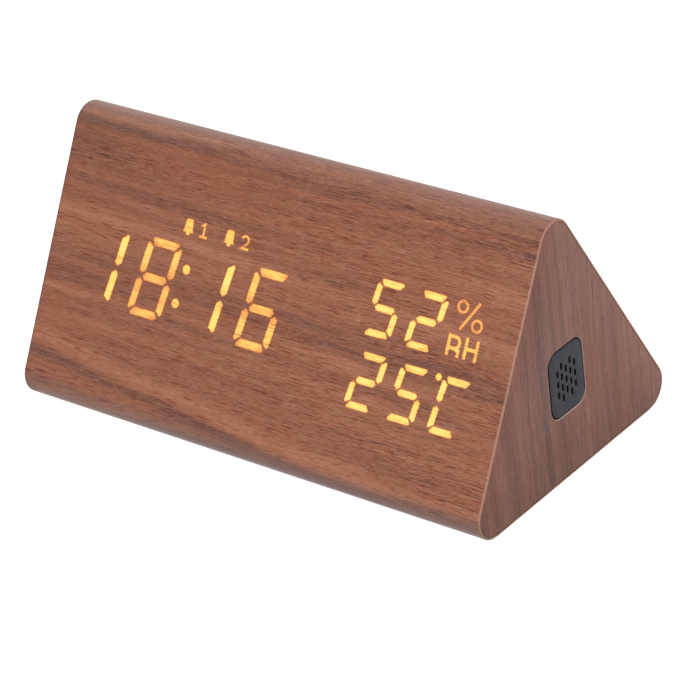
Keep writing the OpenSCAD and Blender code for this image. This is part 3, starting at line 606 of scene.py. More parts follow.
class Shader:
    """One node material, built in short calls."""

    def __init__(self, name: str) -> None:
        """Starts a material with a principled surface.

        Args:
            name: Name of the material.
        """
        self.material = bpy.data.materials.new(name)
        self.material.use_nodes = True
        self.tree = self.material.node_tree
        self.tree.nodes.clear()
        self.surface = self.add("ShaderNodeBsdfPrincipled")
        self.output = self.add("ShaderNodeOutputMaterial")
        self.feed(self.output.inputs[0], self.surface.outputs[0])

    def add(self, kind: str, **settings: object) -> bpy.types.Node:
        """Adds a node.

        Args:
            kind: Type of the node.
            settings: Properties of the node and their values.

        Returns:
            The node.
        """
        node = self.tree.nodes.new(kind)
        for key, value in settings.items():
            setattr(node, key, value)
        return node

    def feed(self, target: Socket, value: object) -> None:
        """Links a socket to another, or sets its value.

        Args:
            target: The socket that is fed.
            value: The other socket, or the value.
        """
        if isinstance(value, bpy.types.NodeSocket):
            self.tree.links.new(value, target)
        else:
            target.default_value = value

    def chain(self, node: bpy.types.Node, *values: object) -> Socket:
        """Feeds the first inputs of a node in order.

        Args:
            node: The node.
            values: One value or socket for each input.

        Returns:
            Its first output.
        """
        for socket, value in zip(node.inputs, values):
            self.feed(socket, value)
        return node.outputs[0]

    def set(self, **sockets: object) -> None:
        """Feeds inputs of the surface, each named with _ for a space."""
        for key, value in sockets.items():
            self.feed(self.surface.inputs[key.replace("_", " ")], value)

    def math(self, operation: str, *numbers: Value) -> Socket:
        """Adds a sum, product or other operation on numbers."""
        return self.chain(self.add("ShaderNodeMath", operation=operation), *numbers)

    def vector(self, operation: str, first: object, second: object) -> Socket:
        """Adds an operation on two vectors."""
        return self.chain(self.add("ShaderNodeVectorMath", operation=operation), first, second)

    def combine(self, x: Value, y: Value, z: Value) -> Socket:
        """Joins three numbers into a vector."""
        return self.chain(self.add("ShaderNodeCombineXYZ"), x, y, z)

    def separate(self, vector: Socket) -> list[Socket]:
        """Splits a vector into three numbers."""
        return list(self.chain(self.add("ShaderNodeSeparateXYZ"), vector).node.outputs)

    def attribute(self, name: str, output: str) -> Socket:
        """Reads a value that the mesh stores for its points."""
        return self.add("ShaderNodeAttribute", attribute_name=name).outputs[output]

    def millimetres(self) -> Socket:
        """Gives the place on the object in millimetres."""
        place = self.add("ShaderNodeTexCoord").outputs["Object"]
        return self.vector("MULTIPLY", place, (1 / MM, 1 / MM, 1 / MM))

    def noise(self, place: Socket, sizes: tuple[float, float, float] | float, detail: float = 2.0,
              roughness: float = 0.5) -> Socket:
        """Adds soft noise.

        Args:
            place: Where the noise is read.
            sizes: Size of its spots along each axis, or one size for all.
            detail: Layers of finer noise.
            roughness: Strength of the finer layers.

        Returns:
            Numbers round 0.5.
        """
        spots = sizes if isinstance(sizes, tuple) else (sizes, sizes, sizes)
        node = self.add("ShaderNodeTexNoise")
        self.feed(node.inputs["Vector"], self.vector("MULTIPLY", place, tuple(1 / spot for spot in spots)))
        self.feed(node.inputs["Scale"], 1.0)
        self.feed(node.inputs["Detail"], detail)
        self.feed(node.inputs["Roughness"], roughness)
        return node.outputs[0]

    def swing(self, noise: Socket, amount: float) -> Socket:
        """Turns noise round 0.5 into a swing round 0."""
        return self.math("MULTIPLY", self.math("SUBTRACT", noise, 0.5), amount)

    def step(self, value: Socket, low: float, high: float) -> Socket:
        """Rises smoothly from 0 at one value to 1 at another."""
        node = self.add("ShaderNodeMapRange", interpolation_type="SMOOTHSTEP")
        return self.chain(node, value, low, high, 0.0, 1.0)

    def ramp(self, value: Socket, stops: Iterable[tuple[float, Color]]) -> Socket:
        """Turns a number into a colour.

        Args:
            value: The number.
            stops: Numbers and their colours, in order.

        Returns:
            The colour.
        """
        node = self.add("ShaderNodeValToRGB")
        elements = node.color_ramp.elements
        for number, (position, color) in enumerate(stops):
            element = elements[number] if number < len(elements) else elements.new(position)
            element.position = position
            element.color = color
        return self.chain(node, value)

    def mix(self, factor: Value, first: object, second: object) -> Socket:
        """Mixes two colours.

        Args:
            factor: Share of the second.
            first: First colour.
            second: Second colour.

        Returns:
            The mixed colour.
        """
        # Inputs 0, 6 and 7 of a mix of colours are its share and the two colours, and output 2 the result
        node = self.add("ShaderNodeMix", data_type="RGBA")
        for number, value in zip((0, 6, 7), (factor, first, second)):
            self.feed(node.inputs[number], value)
        return node.outputs[2]

    def rough(self, noise: Socket, amount: float, middle: float) -> None:
        """Lets the roughness swing with noise round a middle value."""
        self.set(Roughness=self.math("ADD", self.swing(noise, amount), middle))

    def bump(self, height: Socket, distance: float, strength: float = 1.0) -> None:
        """Dents the surface by a height.

        Args:
            height: The height, from 0 to 1.
            distance: Depth of a height of 1.
            strength: Share of the dent that shows.
        """
        node = self.add("ShaderNodeBump")
        self.feed(node.inputs["Strength"], strength)
        self.feed(node.inputs["Distance"], distance)
        self.feed(node.inputs["Height"], height)
        self.set(Normal=node.outputs[0])


@dataclass(frozen=True)
class Finish:
    """A finish, whose material is made once."""

    name: str

    def material(self) -> bpy.types.Material:
        """Gives the material, and paints it the first time.

        Returns:
            The material.
        """
        if self.name not in MATERIALS:
            shader = Shader(self.name)
            self.paint(shader)
            MATERIALS[self.name] = shader.material
        return MATERIALS[self.name]

    def paint(self, shader: Shader) -> None:
        """Builds the nodes of the material."""
        raise NotImplementedError

    def dress(self, piece: bpy.types.Object) -> None:
        """Gives a piece this finish alone."""
        piece.data.materials.clear()
        piece.data.materials.append(self.material())


@dataclass(frozen=True)
class GrainNoise:
    """Noise in spots along the grain: their sizes in millimetres, and how far it swings."""

    along: float
    across: float
    amount: float = 1.0
    detail: float = 1.0
    roughness: float = 0.5

    def read(self, shader: Shader, place: Socket) -> Socket:
        """Gives the noise as numbers round 0.5."""
        return shader.noise(place, (self.along, self.across, 1.0), self.detail, self.roughness)

    def swing(self, shader: Shader, place: Socket) -> Socket:
        """Gives the noise as a swing round 0."""
        return shader.swing(self.read(shader, place), self.amount)


@dataclass(frozen=True)
class DarkBand:
    """A dark band along the grain, or a light one where its depth is negative.

    It may fade along the grain, from a place where it is gone to one where it is full.
    """

    across: float
    slope: float
    width: float
    depth: float
    fade: Place | None = None

    def shade(self, shader: Shader, along: Socket, across: Socket) -> Socket:
        """Draws the band.

        Args:
            shader: The material being built.
            along: Place along the grain.
            across: Place across the grain.

        Returns:
            How much darker the band makes the wood.
        """
        middle = shader.math("MULTIPLY_ADD", along, self.slope, self.across)
        gap = shader.math("ABSOLUTE", shader.math("SUBTRACT", across, middle))
        shade = shader.step(gap, self.width, 0.0)
        if self.fade is not None:
            shade = shader.math("MULTIPLY", shade, shader.step(along, *self.fade))
        return shader.math("MULTIPLY", shade, self.depth)


@dataclass(frozen=True)
class WalnutFilm(Finish):
    """Walnut grain printed on film.

    The mesh stores places along and across the grain in millimetres, how pale its edges are painted (wear,
    partly a painted highlight), negative where painted shade darkens them, and a painted sheen on its
    bends.
    """

    dark: Color = (0.158, 0.054, 0.030, 1)
    base: Color = (0.270, 0.096, 0.048, 1)
    light: Color = (0.366, 0.141, 0.077, 1)
    red: Color = (0.290, 0.088, 0.040, 1)
    pore_and_shade: Color = (0.078, 0.026, 0.014, 1)
    # Paler colour of the film's worn and cut edges; on the wrap's right edge it is partly a painted
    # highlight
    rim: Color = (0.520, 0.265, 0.180, 1)
    # Painted sheen: grey mixed into the colour on the long bends, standing in for their reflection
    painted_sheen: Color = (0.200, 0.160, 0.150, 1)
    painted_sheen_share: float = 0.22
    fleck: tuple[float, float, float] = (0.098, 0.068, 0.056)
    roughness: float = 0.38
    rough_swing: float = -0.12
    gloss: float = 0.36
    haze: float = 0.16
    haze_roughness: float = 0.4
    haze_tint: Color = (1.0, 0.96, 0.95, 1)
    relief: float = 0.010 * MM
    tone_relief: float = 0.4
    tone_stops: tuple[float, float, float] = (0.22, 0.5, 0.78)
    waves: tuple[GrainNoise, GrainNoise] = (GrainNoise(75, 17, 4.0), GrainNoise(15, 4, 1.1))
    broad: GrainNoise = GrainNoise(240, 8.0, 0.82, 2)
    streaks: GrainNoise = GrainNoise(60, 1.8, 0.62, 2, 0.6)
    fibres: GrainNoise = GrainNoise(8, 0.42, 1.6)
    flecks: GrainNoise = GrainNoise(1.7, 0.24, 2.2)
    dashes: GrainNoise = GrainNoise(5.5, 0.27)
    crowding: GrainNoise = GrainNoise(50, 4, 0.30, 2)
    pore_edges: Place = (0.57, 0.71)
    pore_depth: float = 1.45
    warmth: GrainNoise = GrainNoise(60, 11, detail=2)
    warm_edges: Place = (0.45, 0.68)
    warm_share: float = 0.45
    contrast: float = 1.0
    contrast_slope: float = 0.0028
    # Painted shade: the tone darkens towards the foot, between these places along the grain
    foot_edges: Place = (1.0, 0.0)
    foot_shade: float = 0.0
    bands: tuple[DarkBand, ...] = ()

    def figure(self, shader: Shader) -> tuple[Socket, Socket]:
        """Draws the grain.

        Args:
            shader: The material being built.

        Returns:
            The tone of the wood round 0.5, and its fine flecks round 0, dark ones negative.
        """
        place = shader.attribute("grain", "Vector")
        wave = shader.math("ADD", *(noise.swing(shader, place) for noise in self.waves))
        place = shader.vector("ADD", place, shader.combine(0.0, wave, 0.0))
        along, across, _ = shader.separate(place)
        contrast = shader.math("MULTIPLY_ADD", along, self.contrast_slope, self.contrast)
        tone = shader.math("ADD", self.broad.swing(shader, place), 0.5)
        tone = shader.math("MULTIPLY_ADD", self.streaks.swing(shader, place), contrast, tone)
        # Painted shade towards the foot
        foot = shader.math("MULTIPLY", shader.step(along, *self.foot_edges), self.foot_shade)
        tone = shader.math("SUBTRACT", tone, foot)
        for band in self.bands:
            tone = shader.math("SUBTRACT", tone, band.shade(shader, along, across))
        dashes = shader.math("ADD", self.dashes.read(shader, place), self.crowding.swing(shader, place))
        pores = shader.math("MULTIPLY", shader.step(dashes, *self.pore_edges), self.pore_depth)
        fine = shader.math("ADD", self.fibres.swing(shader, place), self.flecks.swing(shader, place))
        fine = shader.math("SUBTRACT", fine, pores)
        return tone, shader.math("MULTIPLY", fine, contrast)

    def wood(self, shader: Shader, tone: Socket, fine: Socket) -> Socket:
        """Colours the grain.

        Args:
            shader: The material being built.
            tone: Tone of the wood.
            fine: Its fine flecks.

        Returns:
            The colour of the film.
        """
        color = shader.ramp(tone, zip(self.tone_stops, (self.dark, self.base, self.light)))
        place = shader.attribute("grain", "Vector")
        warm = shader.step(self.warmth.read(shader, place), *self.warm_edges)
        color = shader.mix(shader.math("MULTIPLY", warm, self.warm_share), color, self.red)
        flecks = shader.vector("MULTIPLY", shader.combine(fine, fine, fine), self.fleck)
        return shader.vector("MAXIMUM", shader.vector("ADD", color, flecks), self.pore_and_shade[:3])

    def paint(self, shader: Shader) -> None:
        """Builds the nodes of the material.

        Args:
            shader: The material being built.
        """
        tone, fine = self.figure(shader)
        # Painted sheen: grey mixed in on the long bends
        bend = shader.math("MULTIPLY", shader.attribute("bend", "Fac"), self.painted_sheen_share)
        color = shader.mix(bend, self.wood(shader, tone, fine), self.painted_sheen)
        edge = shader.attribute("edge", "Fac")
        # Paler edges: wear, partly a painted highlight
        color = shader.mix(edge, color, self.rim)
        # Painted shade: negative edge values darken towards the pore colour
        color = shader.mix(shader.math("MULTIPLY", edge, -1.0), color, self.pore_and_shade)
        shader.set(Base_Color=color, Specular_IOR_Level=self.gloss, Sheen_Weight=self.haze,
                   Sheen_Roughness=self.haze_roughness, Sheen_Tint=self.haze_tint)
        shader.rough(tone, self.rough_swing, self.roughness)
        shader.bump(shader.math("MULTIPLY_ADD", tone, self.tone_relief, fine), self.relief)


@dataclass(frozen=True)
class LitFilm(WalnutFilm):
    """The same film with light behind it. The mesh stores how strongly each point glows."""

    unlit: Color = (0.0, 0.0, 0.0, 1)
    ember: Color = (0.33, 0.085, 0.008, 1)
    orange: Color = (0.80, 0.33, 0.070, 1)
    amber: Color = (0.93, 0.64, 0.110, 1)
    yellow: Color = (0.96, 0.77, 0.180, 1)
    glow_stops: tuple[float, ...] = (0.0, 0.28, 0.55, 0.78, 0.98)
    patches: GrainNoise = GrainNoise(5, 3, 0.5, 2)
    tone_swing: float = 0.35
    fine_swing: float = 0.26
    tint_share: float = 0.6

    def paint(self, shader: Shader) -> None:
        """Builds the nodes of the material.

        Args:
            shader: The material being built.
        """
        tone, fine = self.figure(shader)
        grain = shader.math("MULTIPLY_ADD", fine, self.fine_swing, shader.swing(tone, self.tone_swing))
        patches = self.patches.swing(shader, shader.attribute("grain", "Vector"))
        grain = shader.math("ADD", shader.math("ADD", grain, patches), 1.0)
        light = shader.math("MULTIPLY", shader.attribute("glow", "Fac"), grain)
        colors = (self.unlit, self.ember, self.orange, self.amber, self.yellow)
        color = shader.mix(self.tint_share, self.wood(shader, tone, fine), self.pore_and_shade)
        shader.set(Base_Color=color, Roughness=self.roughness, Specular_IOR_Level=self.gloss,
                   Emission_Color=shader.ramp(light, zip(self.glow_stops, colors)), Emission_Strength=1.0)


@dataclass(frozen=True)
class Moulding(Finish):
    """Moulded plastic with a fine even texture."""

    color: Color = (0.014, 0.016, 0.025, 1)
    worn: Color = (0.021, 0.024, 0.035, 1)
    roughness: float = 0.45
    gloss: float = 0.30
    grain: float = 0.16
    relief: float = 0.010 * MM
    relief_share: float = 0.7
    rough_swing: float = 0.14
    cloud: float = 6.0
    cloud_detail: float = 3.0
    worn_edges: Place = (0.35, 0.7)

    def paint(self, shader: Shader) -> None:
        """Builds the nodes of the material.

        Args:
            shader: The material being built.
        """
        place = shader.millimetres()
        worn = shader.step(shader.noise(place, self.cloud, self.cloud_detail), *self.worn_edges)
        shader.set(Base_Color=shader.mix(worn, self.color, self.worn), Specular_IOR_Level=self.gloss)
        texture = shader.noise(place, self.grain)
        shader.rough(texture, self.rough_swing, self.roughness)
        shader.bump(texture, self.relief, self.relief_share)


@dataclass(frozen=True)
class Fibreboard(Finish):
    """Pressed wood fibre, raw where it was cut."""

    dark: Color = (0.26, 0.155, 0.075, 1)
    light: Color = (0.43, 0.29, 0.155, 1)
    fibre: tuple[float, float, float] = (1.4, 0.35, 0.35)
    fibre_detail: float = 3.0
    fibre_roughness: float = 0.65
    cloud: float = 9.0
    cloud_share: float = 0.3
    tone_stops: Place = (0.3, 0.7)
    roughness: float = 0.82
    rough_swing: float = 0.2
    relief: float = 0.06 * MM

    def paint(self, shader: Shader) -> None:
        """Builds the nodes of the material.

        Args:
            shader: The material being built.
        """
        place = shader.millimetres()
        fibres = shader.noise(place, self.fibre, self.fibre_detail, self.fibre_roughness)
        cloud = shader.math("MULTIPLY", shader.noise(place, self.cloud), self.cloud_share)
        tone = shader.math("MULTIPLY_ADD", fibres, 1 - self.cloud_share, cloud)
        shader.set(Base_Color=shader.ramp(tone, zip(self.tone_stops, (self.dark, self.light))))
        shader.rough(fibres, self.rough_swing, self.roughness)
        shader.bump(fibres, self.relief)


@dataclass(frozen=True)
class CircuitBoard(Finish):
    """Green lacquer over copper tracks."""

    lacquer: Color = (0.010, 0.105, 0.042, 1)
    track: Color = (0.022, 0.190, 0.070, 1)
    pitch: float = 1.6
    track_edges: Place = (0.20, 0.16)
    run: tuple[float, float, float] = (11.0, 4.0, 4.0)
    run_detail: float = 1.0
    run_edges: Place = (0.46, 0.48)
    cloud: float = 3.0
    roughness: float = 0.34
    rough_swing: float = 0.1
    relief: float = 0.03 * MM

    def paint(self, shader: Shader) -> None:
        """Builds the nodes of the material.

        Args:
            shader: The material being built.
        """
        place = shader.millimetres()
        _, y, z = shader.separate(place)
        lines = shader.math("FRACT", shader.math("DIVIDE", shader.math("ADD", y, z), self.pitch))
        lane = shader.math("ABSOLUTE", shader.math("SUBTRACT", lines, 0.5))
        runs = shader.step(shader.noise(place, self.run, self.run_detail), *self.run_edges)
        tracks = shader.math("MULTIPLY", shader.step(lane, *self.track_edges), runs)
        shader.set(Base_Color=shader.mix(tracks, self.lacquer, self.track))
        shader.rough(shader.noise(place, self.cloud), self.rough_swing, self.roughness)
        shader.bump(tracks, self.relief)


@dataclass(frozen=True)
class Metal(Finish):
    """Bare or plated metal, with faint rubbed marks."""

    color: Color = (0.62, 0.63, 0.65, 1)
    shade: Color = (0.50, 0.51, 0.53, 1)
    roughness: float = 0.28
    rough_swing: float = 0.22
    mark: tuple[float, float, float] = (4.0, 0.18, 0.18)
    mark_detail: float = 3.0
    mark_roughness: float = 0.6
    cloud: float = 3.0
    relief: float = 0.004 * MM

    def paint(self, shader: Shader) -> None:
        """Builds the nodes of the material.

        Args:
            shader: The material being built.
        """
        place = shader.millimetres()
        color = shader.mix(shader.noise(place, self.cloud), self.shade, self.color)
        shader.set(Base_Color=color, Metallic=1.0)
        marks = shader.noise(place, self.mark, self.mark_detail, self.mark_roughness)
        shader.rough(marks, self.rough_swing, self.roughness)
        shader.bump(marks, self.relief)


@dataclass(frozen=True)
class SoftSkin(Finish):
    """Soft covering of a lead or a ribbon, ribbed across its cores where it has them."""

    color: Color = (0.28, 0.29, 0.31, 1)
    seam: Color = (0.19, 0.20, 0.22, 1)
    core_pitch: float = 1.2
    roughness: float = 0.5
    rough_swing: float = 0.1
    cloud: float = 2.0
    cloud_share: float = 0.2
    relief: float = 0.05 * MM

    def paint(self, shader: Shader) -> None:
        """Builds the nodes of the material.

        Args:
            shader: The material being built.
        """
        place = shader.millimetres()
        x, _, _ = shader.separate(place)
        cores = shader.math("SINE", shader.math("MULTIPLY", x, 2 * math.pi / self.core_pitch))
        ridge = shader.math("MULTIPLY_ADD", cores, 0.5, 0.5)
        cloud = shader.noise(place, self.cloud)
        color = shader.mix(ridge, self.seam, self.color)
        faded = shader.mix(shader.math("MULTIPLY", cloud, self.cloud_share), color, self.seam)
        shader.set(Base_Color=faded)
        shader.rough(cloud, self.rough_swing, self.roughness)
        shader.bump(ridge, self.relief)


@dataclass(frozen=True)
class GlowSheet(Finish):
    """Milky plastic that spreads light."""

    color: Color = (0.83, 0.80, 0.70, 1)
    lit: Color = (1.0, 0.74, 0.22, 1)
    strength: float = 0.15
    roughness: float = 0.5
    rough_swing: float = 0.1
    cloud: float = 7.0
    cloud_share: float = 0.25

    def paint(self, shader: Shader) -> None:
        """Builds the nodes of the material.

        Args:
            shader: The material being built.
        """
        cloud = shader.noise(shader.millimetres(), self.cloud)
        color = shader.mix(shader.math("MULTIPLY", cloud, self.cloud_share), self.color, self.lit)
        shader.set(Base_Color=color, Emission_Color=self.lit, Emission_Strength=self.strength)
        shader.rough(cloud, self.rough_swing, self.roughness)


class CellZone(Enum):
    """Zones of a cell's skin, numbered as its mesh stores them."""

    SLEEVE = 0.0
    BAND = 1.0
    STEEL = 2.0


@dataclass(frozen=True)
class CellSkin(Finish):
    """Printed sleeve of a cell, bare steel at both ends."""

    sleeve: Color = (0.035, 0.110, 0.260, 1)
    shade: Color = (0.020, 0.070, 0.180, 1)
    band: Color = (0.62, 0.60, 0.55, 1)
    steel: Color = (0.60, 0.61, 0.63, 1)
    band_edges: Place = (0.5, 0.55)
    steel_edges: Place = (1.45, 1.55)
    roughness: float = 0.3
    rough_swing: float = 0.12
    cloud: float = 5.0
    cloud_share: float = 0.5

    def paint(self, shader: Shader) -> None:
        """Builds the nodes of the material.

        Args:
            shader: The material being built.
        """
        zone = shader.attribute("zone", "Fac")
        cloud = shader.noise(shader.millimetres(), self.cloud)
        color = shader.mix(shader.math("MULTIPLY", cloud, self.cloud_share), self.sleeve, self.shade)
        color = shader.mix(shader.step(zone, *self.band_edges), color, self.band)
        bare = shader.step(zone, *self.steel_edges)
        shader.set(Base_Color=shader.mix(bare, color, self.steel), Metallic=bare)
        shader.rough(cloud, self.rough_swing, self.roughness)


# Finishes in use


WALNUT_BANDS = (
    DarkBand(across=75.5, slope=0.004, width=4.2, depth=0.22),
    DarkBand(across=80.3, slope=-0.016, width=2.0, depth=0.22),
    DarkBand(across=67.3, slope=-0.022, width=2.0, depth=-0.18),
    DarkBand(across=61.3, slope=0.0, width=1.8, depth=0.14),
    DarkBand(across=55.2, slope=-0.030, width=2.2, depth=-0.26),
    DarkBand(across=41.0, slope=0.010, width=5.0, depth=0.12),
    DarkBand(across=40.0, slope=-0.066, width=2.0, depth=-0.18),
    DarkBand(across=32.8, slope=-0.050, width=2.0, depth=-0.15),
    DarkBand(across=15.2, slope=-0.110, width=3.4, depth=-0.30, fade=(75, 15)),
    DarkBand(across=10.6, slope=0.030, width=2.4, depth=-0.20),
    DarkBand(across=10.9, slope=-0.108, width=2.4, depth=0.22),
    # Painted shade: darker over the lower front bend, which faces away from the light
    DarkBand(across=5.0, slope=0.0, width=9.0, depth=0.30),
    # Painted shade: a dark line near the top of the lower bend, fading out towards the left
    DarkBand(across=11.6, slope=-0.040, width=3.0, depth=0.22, fade=(-45, -10)),
    DarkBand(across=86.0, slope=0.0, width=2.4, depth=0.10),
)
END_BANDS = (
    DarkBand(across=384.0, slope=0.0, width=20.0, depth=0.06),
    DarkBand(across=388.6, slope=0.0, width=2.0, depth=-0.16),
    DarkBand(across=394.5, slope=0.0, width=5.0, depth=0.10),
    DarkBand(across=402.8, slope=0.0, width=2.6, depth=-0.18),
    DarkBand(across=416.6, slope=0.0, width=1.8, depth=0.12),
    DarkBand(across=428.6, slope=0.0, width=1.8, depth=0.13),
    DarkBand(across=432.0, slope=0.0, width=18.0, depth=-0.08),
)


@dataclass(frozen=True)
class FinishSet:
    """Every finish of the clock."""

    walnut: WalnutFilm = WalnutFilm("printed_walnut", bands=WALNUT_BANDS)
    lit: LitFilm = LitFilm("lit_walnut", bands=WALNUT_BANDS)
    black: Moulding = Moulding("black_moulding")
    end_walnut: WalnutFilm = WalnutFilm(
        "printed_end_walnut", dark=(0.145, 0.050, 0.032, 1), base=(0.256, 0.093, 0.058, 1),
        light=(0.368, 0.152, 0.104, 1), red=(0.270, 0.088, 0.052, 1), pore_and_shade=(0.080, 0.034, 0.025, 1),
        rim=(0.50, 0.36, 0.31, 1), fleck=(0.084, 0.056, 0.045), broad=GrainNoise(240, 4.5, 0.95, 2),
        streaks=GrainNoise(60, 1.5, 0.85, 2, 0.6), contrast=0.78, contrast_slope=0.0,
        foot_edges=(20.0, 2.0), foot_shade=0.08, bands=END_BANDS)
    button: Moulding = Moulding("button_moulding", color=(0.014, 0.014, 0.017, 1),
                                worn=(0.024, 0.024, 0.028, 1), roughness=0.36)
    # Near-black ring in the vent's joint: painted shade
    joint_shade_black: Moulding = Moulding("painted_joint_shade", color=(0.004, 0.004, 0.005, 1),
                                worn=(0.007, 0.007, 0.008, 1), roughness=0.8, gloss=0.08)
    ink: Moulding = Moulding("sign_ink", color=(0.52, 0.52, 0.50, 1), worn=(0.60, 0.60, 0.58, 1),
                             roughness=0.6, gloss=0.2)
    white: Moulding = Moulding("white_moulding", color=(0.70, 0.70, 0.67, 1),
                               worn=(0.78, 0.78, 0.75, 1), roughness=0.4)
    chip: Moulding = Moulding("chip_epoxy", color=(0.016, 0.016, 0.018, 1),
                              worn=(0.030, 0.030, 0.032, 1), roughness=0.55)
    fibre: Fibreboard = Fibreboard("pressed_fibre")
    board: CircuitBoard = CircuitBoard("green_circuit_board")
    steel: Metal = Metal("zinc_steel")
    nickel: Metal = Metal("nickel_plate", color=(0.66, 0.64, 0.59, 1), shade=(0.55, 0.53, 0.48, 1),
                          roughness=0.22)
    diffuser: GlowSheet = GlowSheet("diffuser_sheet")
    led: GlowSheet = GlowSheet("led_lens", strength=1.0)
    cell: CellSkin = CellSkin("cell_sleeve")
    ribbon: SoftSkin = SoftSkin("ribbon_skin")
    red_lead: SoftSkin = SoftSkin("red_lead_skin", color=(0.42, 0.02, 0.015, 1),
                                  seam=(0.36, 0.018, 0.014, 1), core_pitch=9)
    black_lead: SoftSkin = SoftSkin("black_lead_skin", color=(0.020, 0.020, 0.022, 1),
                                    seam=(0.015, 0.015, 0.016, 1), core_pitch=9)
    white_lead: SoftSkin = SoftSkin("white_lead_skin", color=(0.66, 0.66, 0.62, 1),
                                    seam=(0.58, 0.58, 0.54, 1), core_pitch=9)


# Sub-assemblies


@dataclass(frozen=True)
class SoftEdges:
    """Small rounded edges on a machined or moulded piece."""

    width: float = 0.12 * MM
    segments: int = 2
    sharp: float = 35.0
    weld: float = 0.001 * MM
    flat: float = 0.6

    def round(self, node: str) -> None:
        """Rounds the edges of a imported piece.

        Args:
            node: Name of the piece.
        """
        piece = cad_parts[node]
        normals = piece.data.attributes.get("custom_normal")
        if normals is not None:
            piece.data.attributes.remove(normals)
        piece.data.polygons.foreach_set("use_smooth", [True] * len(piece.data.polygons))
        weld = piece.modifiers.new("weld", "WELD")
        weld.merge_threshold = self.weld
        flat = piece.modifiers.new("flat", "DECIMATE")
        flat.decimate_type = "DISSOLVE"
        flat.angle_limit = math.radians(self.flat)
        edges = piece.modifiers.new("edges", "BEVEL")
        edges.limit_method = "ANGLE"
        edges.angle_limit = math.radians(self.sharp)
        edges.width = self.width
        edges.segments = self.segments
        edges.harden_normals = True


def packed_node(node: str, finish: Finish, edges: SoftEdges | None = None) -> bpy.types.Object:
    """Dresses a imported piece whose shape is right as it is.

    Args:
        node: Name of the piece.
        finish: Its finish.
        edges: Rounding of its edges, if it has any.

    Returns:
        The piece.
    """
    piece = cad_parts[node]
    finish.dress(piece)
    if edges is not None:
        edges.round(node)
    return piece


def place_piece(piece: bpy.types.Object, finish: Finish, body: str, slot: str,
                *nodes: str) -> bpy.types.Object:
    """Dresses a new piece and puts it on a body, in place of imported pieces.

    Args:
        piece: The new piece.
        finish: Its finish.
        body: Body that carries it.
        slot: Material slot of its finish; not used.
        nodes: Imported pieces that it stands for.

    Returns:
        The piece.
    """
    finish.dress(piece)
    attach(piece, body)
    if nodes:
        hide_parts(*nodes)
    return piece


